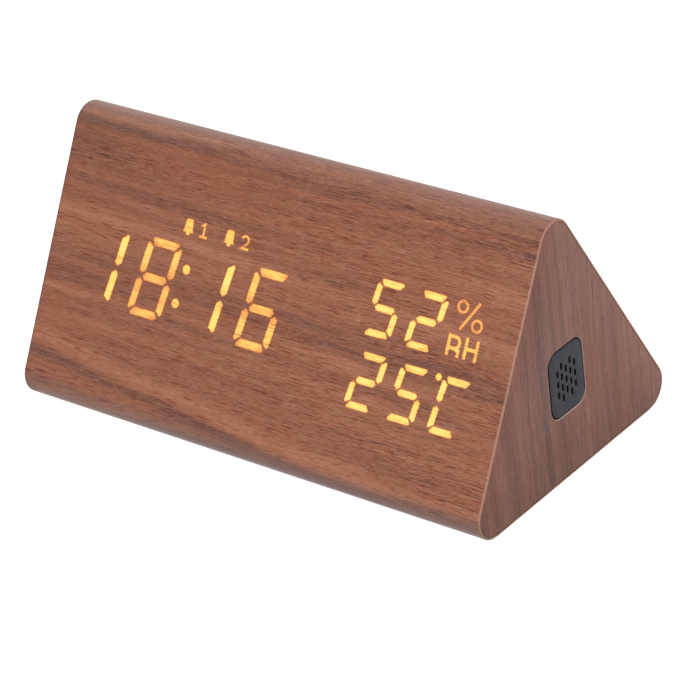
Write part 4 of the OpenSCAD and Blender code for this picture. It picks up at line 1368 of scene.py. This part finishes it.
@dataclass
class CaseFilm:
    """Walnut film on the five sides of the case."""

    section: CaseSection
    finish: WalnutFilm
    end_finish: WalnutFilm
    arc_steps: int = 28
    rim: float = 0.30 * MM
    rim_steps: int = 5
    rim_support: float = 0.5 * MM
    edge_width: float = 0.32 * MM
    # Painted shade along the left end's edge: how far in it reaches and how strong it is
    left_edge_width: float = 0.75 * MM
    left_edge_shade: float = 1.0
    # How pale the right end's edge is painted round the long edges: wear, with a painted highlight
    # strongest at the front
    edge_wear_and_highlight: BendTable = ((0, 0.0, 0.4), (0, 1.0, 1.0), (1, 0.4, 0.9), (1, 1.0, 0.2))
    # How much painted sheen each long edge gets along its turn
    bend_bloom: BendTable = ((0, 0.0, 1.0), (0, 0.75, 1.0), (0, 1.0, 0.0), (1, 0.0, 0.0), (1, 0.12, 0.6),
                             (1, 0.4, 0.3), (1, 0.65, 0.6), (1, 1.0, 0.0))
    end_rim: float = 0.20 * MM
    end_grain_start: float = 400.0
    left_grain_start: float = 600.0
    base_grain_start: float = 800.0
    base_grain_along: float = 100.0
    panel_window: tuple[float, float, float] = (76 * MM, 18 * MM, 2.5 * MM)
    vent_window: tuple[float, float, float] = (14.7 * MM, 18.8 * MM, 3.65 * MM)
    tray_window: tuple[float, float, float] = (58.7 * MM, 40.5 * MM, 2.5 * MM)
    window_wear_reach: float = 2.0
    window_wear_rise: float = 3.0
    cutter_above: float = 1 * MM
    cutter_thick: float = 3 * MM
    cutter_rim: float = 0.01 * MM
    base_gap: float = 0.05 * MM

    def build(self) -> list[bpy.types.Object]:
        """Builds the wrapped film, the two ends and the base."""
        return [self.wrap(), self.end(Side.RIGHT), self.end(Side.LEFT), self.base()]

    def lengthwise(self) -> list[tuple[float, float]]:
        """Draws the film's cut along the case, from the left end to the right and back below.

        Returns:
            Places along the case with their depths, as a closed loop.
        """
        half = self.section.length / 2
        right = []
        for step in range(self.rim_steps + 1):
            angle = math.radians(90 * step / self.rim_steps)
            right.append((half - self.rim * (1 - math.sin(angle)), self.rim * (1 - math.cos(angle))))
        right = [(half - self.rim - self.rim_support, 0.0)] + right + [(half, self.section.film)]
        return [(-x, depth) for x, depth in right[::-1]] + right

    def wrap(self) -> bpy.types.Object:
        """Builds the film that goes round the front, the top edge and the back.

        Returns:
            The piece.
        """
        shell = Shell()
        cut = self.lengthwise()
        rings = []
        outer = self.section.profile(0.0, self.arc_steps, self.rim_support)
        for place, way in outer:
            rings.append(shell.ring(Vector((x, place[0] - depth * way[0], place[1] - depth * way[1]))
                                    for x, depth in cut))
        shell.loft(rings)
        piece = shell.to_object("walnut_wrap")
        window = rounded_rect(*self.panel_window, (0, self.section.panel_up))
        cutter = Plate(self.section.side(Side.REAR), window, [], -self.cutter_above, self.cutter_thick,
                       self.cutter_rim, 1)
        cut_out(piece, cutter.build("panel_cutter"))
        smooth(piece)
        places = np.array([tuple(point.co) for point in piece.data.vertices])
        runs = np.array([self.section.run_at(y, z) for _, y, z in places])
        self.store(piece, places[:, 0] / MM, runs / MM)
        inset = self.section.length / 2 - np.abs(places[:, 0])
        # The right end's edge is painted paler: wear, with a painted highlight
        worn = self.section.at_bends(runs, self.edge_wear_and_highlight) * np.clip(1 - inset / self.edge_width, 0, 1)
        # Painted shade on the left end's edge, stored as negative values
        dark = self.left_edge_shade * np.clip(1 - inset / self.left_edge_width, 0, 1)
        set_attribute(piece, "edge", np.where(places[:, 0] > 0, worn, -dark))
        # Painted sheen on the long bends
        set_attribute(piece, "bend", self.section.at_bends(runs, self.bend_bloom))
        return place_piece(piece, self.finish, "case", "walnut_film", "wrap_film")

    def store(self, piece: bpy.types.Object, along: np.ndarray, across: np.ndarray) -> None:
        """Stores places along and across the grain, in millimetres."""
        set_attribute(piece, "grain", np.stack((along, across, np.zeros(len(along))), axis=1))

    def flat_film(self, name: str, node: str, plate: Plate, start: float,
                  upright: bool) -> bpy.types.Object:
        """Builds a flat film.

        Args:
            name: Name of the piece.
            node: Packed film that it stands for.
            plate: Its shape.
            start: Place across the grain where its figure starts, in millimetres.
            upright: Whether the grain runs up the side, rather than along it.

        Returns:
            The piece.
        """
        piece = plate.build(name)
        places = np.array([plate.face.local(point.co) for point in piece.data.vertices])
        x, y = places[:, 0] / MM, places[:, 1] / MM
        along, across = (y, x) if upright else (x + self.base_grain_along, y)
        self.store(piece, along, across + start)
        worn = distance_to_loops(places[:, :2], plate.holes) < self.window_wear_reach * plate.rim
        depths = self.window_wear_rise * places[:, 2] / plate.rim
        set_attribute(piece, "edge", worn * np.clip(depths, 0, 1))
        return place_piece(piece, self.end_finish, "case", "walnut_film", node)

    def end(self, side: Side) -> bpy.types.Object:
        """Builds the film of one end, with the vent's window in the right one.

        Args:
            side: Side.RIGHT or Side.LEFT.

        Returns:
            The piece.
        """
        inset = self.section.film + self.section.glue
        sign = 1 if side is Side.RIGHT else -1
        loop = [(sign * y, z) for (y, z), _ in self.section.profile(inset, self.arc_steps)]
        loop = loop[::-1] if side is Side.RIGHT else loop
        window = rounded_rect(*self.vent_window, (0, self.section.vent_up))
        holes = [window] if side is Side.RIGHT else []
        plate = Plate(self.section.side(side), loop, holes, 0.0, self.section.film, self.end_rim)
        start = self.end_grain_start if side is Side.RIGHT else self.left_grain_start
        return self.flat_film(f"walnut_{side.value}_end", f"{side.value}_end_film", plate, start, True)

    def base(self) -> bpy.types.Object:
        """Builds the film under the case, with the window of the battery tray.

        Returns:
            The piece.
        """
        loop = rect(self.section.length / 2, self.section.flat_half - self.base_gap)
        plate = Plate(self.section.side(Side.BASE), loop, [rounded_rect(*self.tray_window)], 0.0,
                      self.section.film, self.end_rim / 2)
        return self.flat_film("walnut_base", "base_film", plate, self.base_grain_start, False)


@dataclass(frozen=True)
class LampZone:
    """A part of the display between two places on the face, in millimetres, and how it glows."""

    node: str
    low: Place
    high: Place
    level: float
    halo: float = 0.15
    soft: float = 0.28
    fade: float = 0.25


@dataclass
class LitReadings:
    """The time, the alarm marks and the two readings, shining through the film."""

    section: CaseSection
    finish: LitFilm
    leak: float = 0.17
    proud: float = 0.015 * MM
    sunk: float = 0.2 * MM
    grid: float = 0.3 * MM
    ring_insets: tuple[float, ...] = (0.0, 0.12 * MM, 0.26 * MM, 0.42 * MM)
    ring_share: float = 0.93
    edge_power: float = 0.65
    fade_power: int = 3
    nodes: tuple[str, ...] = ("time_digits", "alarm_marks", "humidity_reading", "temperature_reading")
    zones: tuple[LampZone, ...] = (
        LampZone("time_digits", (-75, -20), (75, 20), 0.91),
        LampZone("time_digits", (-45.5, -12), (-30.2, 12), 0.70, fade=0.36),
        LampZone("time_digits", (-9.6, -12), (6, 12), 0.71, fade=0.36),
        LampZone("time_digits", (-30.2, -12), (-25, 12), 0.80, fade=0.0),
        LampZone("alarm_marks", (-75, 0), (75, 30), 0.74, fade=0.0),
        LampZone("alarm_marks", (-27.5, 11), (-23.2, 18), 0.63, 0.18, 0.10, 0.0),
        LampZone("alarm_marks", (-13.8, 11), (-9, 18), 0.63, 0.18, 0.10, 0.0),
        LampZone("humidity_reading", (-75, -20), (75, 30), 0.96),
        LampZone("humidity_reading", (55, 6.9), (66, 17), 0.56, 0.22, 0.08, 0.0),
        LampZone("humidity_reading", (54, 0), (66, 6.9), 0.68, 0.18, 0.14, 0.0),
        LampZone("temperature_reading", (-75, -30), (75, 20), 0.96),
    )

    def build(self) -> list[bpy.types.Object]:
        """Builds one piece for each lit part of the display."""
        return [self.patch(node) for node in self.nodes]

    def zone_of(self, node: str, loop: Loop) -> LampZone:
        """Finds how an outline glows.

        Args:
            node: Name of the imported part.
            loop: The outline.

        Returns:
            The last zone of that part round the outline's middle.
        """
        middle = np.mean(loop, axis=0) / MM
        fits = [zone for zone in self.zones if zone.node == node
                and (middle > zone.low).all() and (middle < zone.high).all()]
        return fits[-1]

    def inner_places(self, loops: Sequence[Loop]) -> list[Place]:
        """Spreads points inside outlines, in rings beside them and a grid further in.

        Args:
            loops: The outlines.

        Returns:
            The points.
        """
        corners = np.array([place for loop in loops for place in loop])
        low, high = corners.min(axis=0), corners.max(axis=0)
        xs = np.arange(low[0], high[0], self.grid)
        ys = np.arange(low[1], high[1], self.grid)
        grid = np.stack(np.meshgrid(xs, ys), axis=-1).reshape(-1, 2)
        grid = grid[inside_loops(grid, loops)]
        kept = [grid[distance_to_loops(grid, loops) > self.ring_insets[-1] + self.grid / 2]]
        for inset in self.ring_insets:
            ring = []
            for loop in loops:
                moved = np.array(offset_loop(loop, inset))
                for first, second in zip(moved, np.roll(moved, -1, axis=0)):
                    count = max(1, math.ceil(np.linalg.norm(second - first) / self.grid))
                    ring += [first + (second - first) * k / count for k in range(count)]
            ring = np.array(ring)
            away = distance_to_loops(ring, loops)
            fits = (away > self.ring_share * inset) & (inside_loops(ring, loops) | (inset == 0.0))
            kept.append(ring[fits])
        return [(float(x), float(y)) for x, y in np.concatenate(kept)]

    def patch(self, node: str) -> bpy.types.Object:
        """Builds a lit part as thin closed patches in the film.

        Args:
            node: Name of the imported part.

        Returns:
            The piece.
        """
        front = self.section.side(Side.FRONT)
        lit = flat_outlines(node, front)
        edges = [offset_loop(loop, -self.zone_of(node, loop).halo * MM) for loop in lit]
        places, faces = fill_loops(edges, self.inner_places(lit))
        shell = Shell()
        top = shell.ring(front.point(x, y, -self.proud) for x, y in places)
        shell.faces += [tuple(top[i] for i in face) for face in faces]
        start = 0
        for loop in edges:
            wall = top[start:start + len(loop)]
            floor = shell.ring(front.point(x, y, self.sunk) for x, y in loop)
            shell.bridge(floor, wall)
            start += len(loop)
        below = range(len(top), len(shell.points))
        shell.faces += [tuple(below[i] for i in face[::-1]) for face in fill_loops(edges)[1]]
        piece = shell.to_object(f"lit_{node}")
        self.store(piece, node, lit)
        return place_piece(piece, self.finish, "case", "amber_light", node)

    def store(self, piece: bpy.types.Object, node: str, lit: Sequence[Loop]) -> None:
        """Stores the grain and the glow of each point.

        Args:
            piece: The lit piece.
            node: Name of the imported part.
            lit: Outlines of its light.
        """
        front = self.section.side(Side.FRONT)
        points = np.array([front.local(point.co)[:2] for point in piece.data.vertices]) / MM
        loops = [[(x / MM, y / MM) for x, y in loop] for loop in lit]
        away = [distance_to_loops(points, [loop]) for loop in loops]
        nearest = np.argmin(away, axis=0)
        depth = np.min(away, axis=0) * np.where(inside_loops(points, loops), 1, -1)
        middles = np.array([np.mean(loop, axis=0) for loop in loops])
        reaches = np.array([np.linalg.norm(loop - middle, axis=1).max()
                            for loop, middle in zip(loops, middles)])
        out = np.linalg.norm(points - middles[nearest], axis=1) / reaches[nearest]
        zones = [self.zone_of(node, loop) for loop in lit]
        rows = np.array([(zone.level, zone.halo, zone.soft, zone.fade) for zone in zones])[nearest]
        level, halo, soft, fade = rows.T
        inward = np.clip((depth + halo) / (halo + soft), 0, 1)
        share = self.leak + (1 - self.leak) * inward ** self.edge_power
        glow = level * share * (1 - fade * np.clip(out, 0, 1) ** self.fade_power)
        start = (self.section.arc_run + self.section.flat_half) / MM
        set_attribute(piece, "grain", np.stack((points[:, 0], points[:, 1] + start, 0 * glow), axis=1))
        set_attribute(piece, "glow", glow)


@dataclass
class Inserts:
    """Vent, control panel, buttons and power inlet: the black mouldings in the case."""

    section: CaseSection
    finishes: FinishSet
    vent_face_size: tuple[float, float, float] = (13.7 * MM, 17.84 * MM, 3.15 * MM)
    vent_face_depth: float = 0.12 * MM
    vent_face_thick: float = 0.38 * MM
    vent_face_rim: float = 0.12 * MM
    slot_rim: float = 0.05 * MM
    # A black ring in the vent's joint, standing in for the joint's shade
    shade_ring_outside: tuple[float, float, float] = (14.66 * MM, 18.76 * MM, 3.63 * MM)
    shade_ring_inside: tuple[float, float, float] = (13.82 * MM, 17.96 * MM, 3.21 * MM)
    shade_ring_depth: float = 0.44 * MM
    shade_ring_thick: float = 0.16 * MM
    shade_ring_rim: float = 0.03 * MM
    small_rim_steps: int = 2
    ink_top: float = -0.28 * MM
    ink_thick: float = 0.17 * MM
    ink_rim: float = 0.04 * MM
    ink_gap: float = 0.02 * MM
    pin_tip: float = 3.40 * MM
    pin_steps: int = 24
    pin_profile: tuple[Place, ...] = ((0.0, 0.38 * MM), (0.03 * MM, 0.66 * MM), (0.12 * MM, 0.68 * MM),
                                      (6.4 * MM, 0.68 * MM))
    edges: SoftEdges = SoftEdges()
    mouldings: tuple[str, ...] = ("vent_grille", "control_panel")
    buttons: tuple[str, ...] = ("set_button", "up_button", "down_button")

    def build(self) -> list[bpy.types.Object]:
        """Dresses the inserts.

        Returns:
            Their pieces.
        """
        pieces = [packed_node(node, self.finishes.black, self.edges) for node in self.mouldings]
        pieces += [packed_node(node, self.finishes.button, self.edges) for node in self.buttons]
        pieces.append(packed_node("power_socket", self.finishes.chip, self.edges))
        pieces.append(packed_node("humidity_sensor", self.finishes.chip))
        pieces += [self.sign(button) for button in self.buttons]
        return pieces + [self.vent_face(), self.joint_shade_ring(), self.pin()]

    def vent_face(self) -> bpy.types.Object:
        """Builds the raised face of the vent, slotted as the moulding behind it.

        Returns:
            The piece.
        """
        side = self.section.side(Side.RIGHT)
        loops = flat_outlines("vent_grille", side)
        spans = [np.ptp(loop, axis=0).max() for loop in loops]
        slots = [loop[::-1] for loop, span in zip(loops, spans) if span < max(spans)]
        outline = rounded_rect(*self.vent_face_size, (0, self.section.vent_up))
        plate = Plate(side, outline, slots, self.vent_face_depth, self.vent_face_thick,
                      self.vent_face_rim, hole_rim=self.slot_rim)
        return place_piece(plate.build("vent_face"), self.finishes.black, "case", "black_plastic")

    def joint_shade_ring(self) -> bpy.types.Object:
        """Lays a thin black ring in the joint round the vent: a dark piece that stands in for the joint's
        shade.

        Returns:
            The piece.
        """
        outside = rounded_rect(*self.shade_ring_outside, (0, self.section.vent_up))
        inside = rounded_rect(*self.shade_ring_inside, (0, self.section.vent_up))
        plate = Plate(self.section.side(Side.RIGHT), outside, [inside], self.shade_ring_depth, self.shade_ring_thick,
                      self.shade_ring_rim, self.small_rim_steps)
        return place_piece(plate.build("vent_joint_shade"), self.finishes.joint_shade_black, "case", "black_plastic")

    def sign(self, button: str) -> bpy.types.Object:
        """Fills the sunk sign of a button with ink.

        Args:
            button: Name of the button, which is also its body.

        Returns:
            The piece.
        """
        side = self.section.side(Side.REAR)
        loops = sorted(flat_outlines(button, side), key=lambda loop: np.ptp(loop, axis=0).max())
        outline = offset_loop(loops[-2][::-1], self.ink_gap)
        islands = [offset_loop(loop, -self.ink_gap) for loop in loops[:-2]]
        plate = Plate(side, outline, islands, self.ink_top, self.ink_thick, self.ink_rim,
                      self.small_rim_steps)
        return place_piece(plate.build(f"{button}_sign"), self.finishes.ink, button, "white_plastic")

    def pin(self) -> bpy.types.Object:
        """Plates the pin of the power inlet.

        Returns:
            The piece.
        """
        side = self.section.side(Side.REAR)
        low, high = (Vector(corner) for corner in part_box("power_socket"))
        middle = side.local((low + high) / 2)
        tip = side.point(middle[0], self.section.panel_up, self.pin_tip)
        pin = Turning(tip, -side.out, list(self.pin_profile), self.pin_steps)
        return place_piece(pin.build("inlet_pin"), self.finishes.nickel, "case", "nickel")


@dataclass
class BatteryBay:
    """Tray, door, contacts and cells in the base. The profiles of a cell are in millimetres."""

    finishes: FinishSet
    edges: SoftEdges = SoftEdges(width=0.15 * MM)
    cells: tuple[str, ...] = ("cell_1", "cell_2", "cell_3")
    knob: float = 0.8 * MM
    knob_radius: float = 1.9 * MM
    knob_share: float = 0.6
    knob_foot: tuple[Place, ...] = ((-0.25, 0.15), (-0.1, 0.0))
    knob_tip: tuple[Place, ...] = ((-0.25, 0.0), (-0.06, -0.1), (0.0, -0.3))
    band_share: float = 0.76
    band_edge: float = 0.05 * MM
    rim_radius: float = 4.3 * MM
    crimp: tuple[Place, ...] = ((0.25, 3.55), (0.05, 3.75), (0.0, 3.95), (0.0, 4.65), (0.08, 4.95))
    crimp_length: float = 0.3 * MM

    def build(self) -> list[bpy.types.Object]:
        """Dresses the bay.

        Returns:
            Its pieces.
        """
        pieces = [packed_node(node, self.finishes.black, self.edges)
                  for node in ("battery_tray", "battery_door")]
        pieces += [packed_node(node, self.finishes.nickel)
                   for node in ("battery_springs", "battery_plates")]
        return pieces + [self.cell(node) for node in self.cells]

    def cell(self, node: str) -> bpy.types.Object:
        """Builds a cell with its crimped ends and its knob.

        Args:
            node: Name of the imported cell.

        Returns:
            The piece.
        """
        low, high = (Vector(corner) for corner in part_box(node))
        radius = (high.z - low.z) / 2
        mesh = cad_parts[node].data
        middle = (low + high) / 2
        tips = [point.co for point in mesh.vertices if point.co.x > high.x - LEVEL]
        forward = max(abs(tip.z - middle.z) for tip in tips) < self.knob_share * radius
        axis = Vector((1 if forward else -1, 0, 0))
        start = Vector((low.x if forward else high.x, middle.y, middle.z))
        body = high.x - low.x - self.knob
        piece = Turning(start, axis, self.cell_profile(body, radius)).build(f"{node}_cased")
        places = np.array([tuple(point.co - start) for point in piece.data.vertices])
        along, away = np.abs(places[:, 0]), np.linalg.norm(places[:, 1:], axis=1)
        sleeve = np.where(along > self.band_share * body, CellZone.BAND.value, CellZone.SLEEVE.value)
        set_attribute(piece, "zone", np.where(away < self.rim_radius, CellZone.STEEL.value, sleeve))
        return place_piece(piece, self.finishes.cell, "case", "cell_wrap", node)

    def cell_profile(self, body: float, radius: float) -> list[Place]:
        """Draws half of a cell's section, from its flat end to the tip of its knob.

        Args:
            body: Length of the cell without its knob.
            radius: Radius of its sleeve.

        Returns:
            Distances along the cell with their radii.
        """
        crimp = [(along * MM, across * MM) for along, across in self.crimp]
        crimp.append((self.crimp_length, radius))
        band = self.band_share * body
        profile = crimp + [(band - self.band_edge, radius), (band + self.band_edge, radius)]
        profile += [(body - along, across) for along, across in crimp[::-1]]
        for end, steps in ((body, self.knob_foot), (body + self.knob, self.knob_tip)):
            profile += [(end + along * MM, self.knob_radius + across * MM) for along, across in steps]
        return profile


@dataclass
class Works:
    """Boards of the case and everything inside it."""

    finishes: FinishSet

    def build(self) -> list[bpy.types.Object]:
        """Dresses the boards and the works.

        Returns:
            Their pieces.
        """
        finishes = self.finishes
        groups = {
            finishes.fibre: ("front_board", "rear_board", "base_board", "left_end_board",
                             "right_end_board"),
            finishes.board: ("display_circuit_board", "sensor_circuit_board", "main_circuit_board"),
            finishes.white: ("light_box", "ribbon_plugs"),
            finishes.diffuser: ("diffuser_sheet",),
            finishes.led: ("display_leds",),
            finishes.steel: ("display_screws", "grille_screws", "circuit_board_screws",
                             "panel_screws", "tray_screws", "tact_switches"),
            finishes.nickel: ("crystal", "backup_cell", "microphone"),
            finishes.chip: ("clock_chip", "buzzer", "backup_cell_holder", "set_switch_plunger",
                            "up_switch_plunger", "down_switch_plunger"),
            finishes.ribbon: ("ribbon_cable",),
            finishes.red_lead: ("positive_lead",),
            finishes.black_lead: ("negative_lead",),
            finishes.white_lead: ("sensor_lead",),
        }
        return [packed_node(node, finish) for finish, nodes in groups.items() for node in nodes]


# Studio


def seen_rays(tree: bpy.types.NodeTree) -> Socket:
    """Tells the rays that see the background from those that light the clock.

    Args:
        tree: Nodes of a material or of the world.

    Returns:
        1 for the camera, for reflections and through clear pieces, and 0 for other rays.
    """
    path = tree.nodes.new("ShaderNodeLightPath")
    seen = path.outputs["Is Camera Ray"]
    for name in ("Is Glossy Ray", "Is Transmission Ray"):
        either = tree.nodes.new("ShaderNodeMath")
        either.operation = "MAXIMUM"
        tree.links.new(seen, either.inputs[0])
        tree.links.new(path.outputs[name], either.inputs[1])
        seen = either.outputs[0]
    return seen


@dataclass(frozen=True)
class SoftLight:
    """A square soft light: where it hangs, the length of its sides and its power."""

    name: str
    place: tuple[float, float, float]
    size: float
    power: float

    def hang(self, aim: Vector) -> None:
        """Hangs the light.

        Args:
            aim: The point that it looks at.
        """
        data = bpy.data.lights.new(self.name, "AREA")
        data.size = self.size
        data.energy = self.power
        light = bpy.data.objects.new(self.name, data)
        light.location = self.place
        light.rotation_euler = (aim - Vector(self.place)).to_track_quat("-Z", "Y").to_euler()
        bpy.context.scene.collection.objects.link(light)


@dataclass
class Studio:
    """Camera, soft light, pale floor and white surround."""

    camera_place: tuple[float, float, float] = (0.50549, -0.56004, 0.44523)
    camera_right: tuple[float, float, float] = (0.78013198, 0.61566515, -0.11113292)
    camera_up: tuple[float, float, float] = (-0.2318005, 0.44944914, 0.86270737)
    camera_back: tuple[float, float, float] = (0.58108745, -0.64726494, 0.49334113)
    lens: float = 177.555
    sensor: float = 36.0
    aim: tuple[float, float, float] = (0.0, 0.0, 0.03)
    lights: tuple[SoftLight, ...] = (
        SoftLight("key_light", (0.15, -1.04, 0.62), 0.5, 9.6),
        SoftLight("top_light", (-0.62, 0.32, 0.82), 0.8, 1.7),
        SoftLight("side_light", (0.50, 0.38, 0.42), 0.35, 2.0),
    )
    white: Color = (1.0, 1.0, 1.0, 1)
    ambient: float = 0.38
    floor_half: float = 2.0
    floor_opening: Place = (74.9 * MM, 33.3 * MM)
    floor_gap: float = 0.05 * MM
    floor_color: Color = (0.34, 0.34, 0.34, 1)
    floor_roughness: float = 0.9
    floor_glow: float = 0.86
    # Painted shadow in the floor's reflections beside the ends: its strength, and places in millimetres
    # where it is gone, full and gone again
    end_shade: float = 0.42
    end_shade_places: tuple[float, float, float] = (74.0, 75.0, 102.0)

    def build(self) -> None:
        """Builds the studio."""
        bpy.context.scene.view_settings.view_transform = "Standard"
        self.camera()
        for light in self.lights:
            light.hang(Vector(self.aim))
        self.surround()
        self.floor()

    def camera(self) -> None:
        """Stands the camera where the photograph was taken from."""
        data = bpy.data.cameras.new("camera")
        data.lens = self.lens
        data.sensor_width = self.sensor
        camera = bpy.data.objects.new("camera", data)
        turn = Matrix((self.camera_right, self.camera_up, self.camera_back)).transposed()
        camera.matrix_world = Matrix.Translation(self.camera_place) @ turn.to_4x4()
        bpy.context.scene.collection.objects.link(camera)
        bpy.context.scene.camera = camera

    def surround(self) -> None:
        """Makes the surround white to the eye and in reflections, and softer as a light."""
        world = bpy.data.worlds.new("surround")
        world.use_nodes = True
        tree = world.node_tree
        background = tree.nodes["Background"]
        background.inputs["Color"].default_value = self.white
        strength = tree.nodes.new("ShaderNodeMapRange")
        strength.inputs["To Min"].default_value = self.ambient
        strength.inputs["To Max"].default_value = 1.0
        tree.links.new(seen_rays(tree), strength.inputs["Value"])
        tree.links.new(strength.outputs[0], background.inputs["Strength"])
        bpy.context.scene.world = world

    def floor(self) -> None:
        """Lays a pale floor that keeps the clock's shadow, open under the base."""
        rings = []
        shell = Shell()
        for halves in ((self.floor_half, self.floor_half), self.floor_opening):
            rings.append(shell.ring(Vector((x, y, -self.floor_gap)) for x, y in rect(*halves)))
        shell.bridge(*rings)
        piece = shell.to_object("floor")
        piece.data.materials.append(self.floor_material())

    def floor_material(self) -> bpy.types.Material:
        """Makes the floor pale, clear from below, and darker in reflections beside the clock's ends: a
        painted shadow of the clock.

        Returns:
            The material.
        """
        shader = Shader("pale_floor")
        shader.set(Base_Color=self.floor_color, Roughness=self.floor_roughness, Specular_IOR_Level=0.0)
        inner, end, outer = self.end_shade_places
        beside = shader.math("ABSOLUTE", shader.separate(shader.millimetres())[0])
        near = shader.math("MULTIPLY", shader.step(beside, inner, end), shader.step(beside, outer, end))
        mirrored = shader.add("ShaderNodeLightPath").outputs["Is Glossy Ray"]
        # Painted shadow, seen only in reflections
        shade = shader.math("MULTIPLY", shader.math("MULTIPLY", near, mirrored), self.end_shade)
        seen = shader.math("MULTIPLY", seen_rays(shader.tree), shader.math("SUBTRACT", 1.0, shade))
        shader.set(Emission_Color=self.white,
                   Emission_Strength=shader.math("MULTIPLY", seen, self.floor_glow))
        below = shader.add("ShaderNodeNewGeometry").outputs["Backfacing"]
        clear = shader.add("ShaderNodeBsdfTransparent").outputs[0]
        mixed = shader.chain(shader.add("ShaderNodeMixShader"), below, shader.surface.outputs[0], clear)
        shader.feed(shader.output.inputs[0], mixed)
        return shader.material


def main() -> None:
    """Builds the clock and its studio, and reports every piece."""
    logging.basicConfig(level=logging.INFO, format="%(name)s: %(message)s")
    section = CaseSection()
    finishes = FinishSet()
    Studio().build()
    assemblies = (
        CaseFilm(section, finishes.walnut, finishes.end_walnut),
        LitReadings(section, finishes.lit),
        Inserts(section, finishes),
        BatteryBay(finishes),
        Works(finishes),
    )
    for assembly in assemblies:
        for piece in assembly.build():
            LOG.info("%s: %s", type(assembly).__name__, piece.name)


if __name__ == "__main__":
    main()
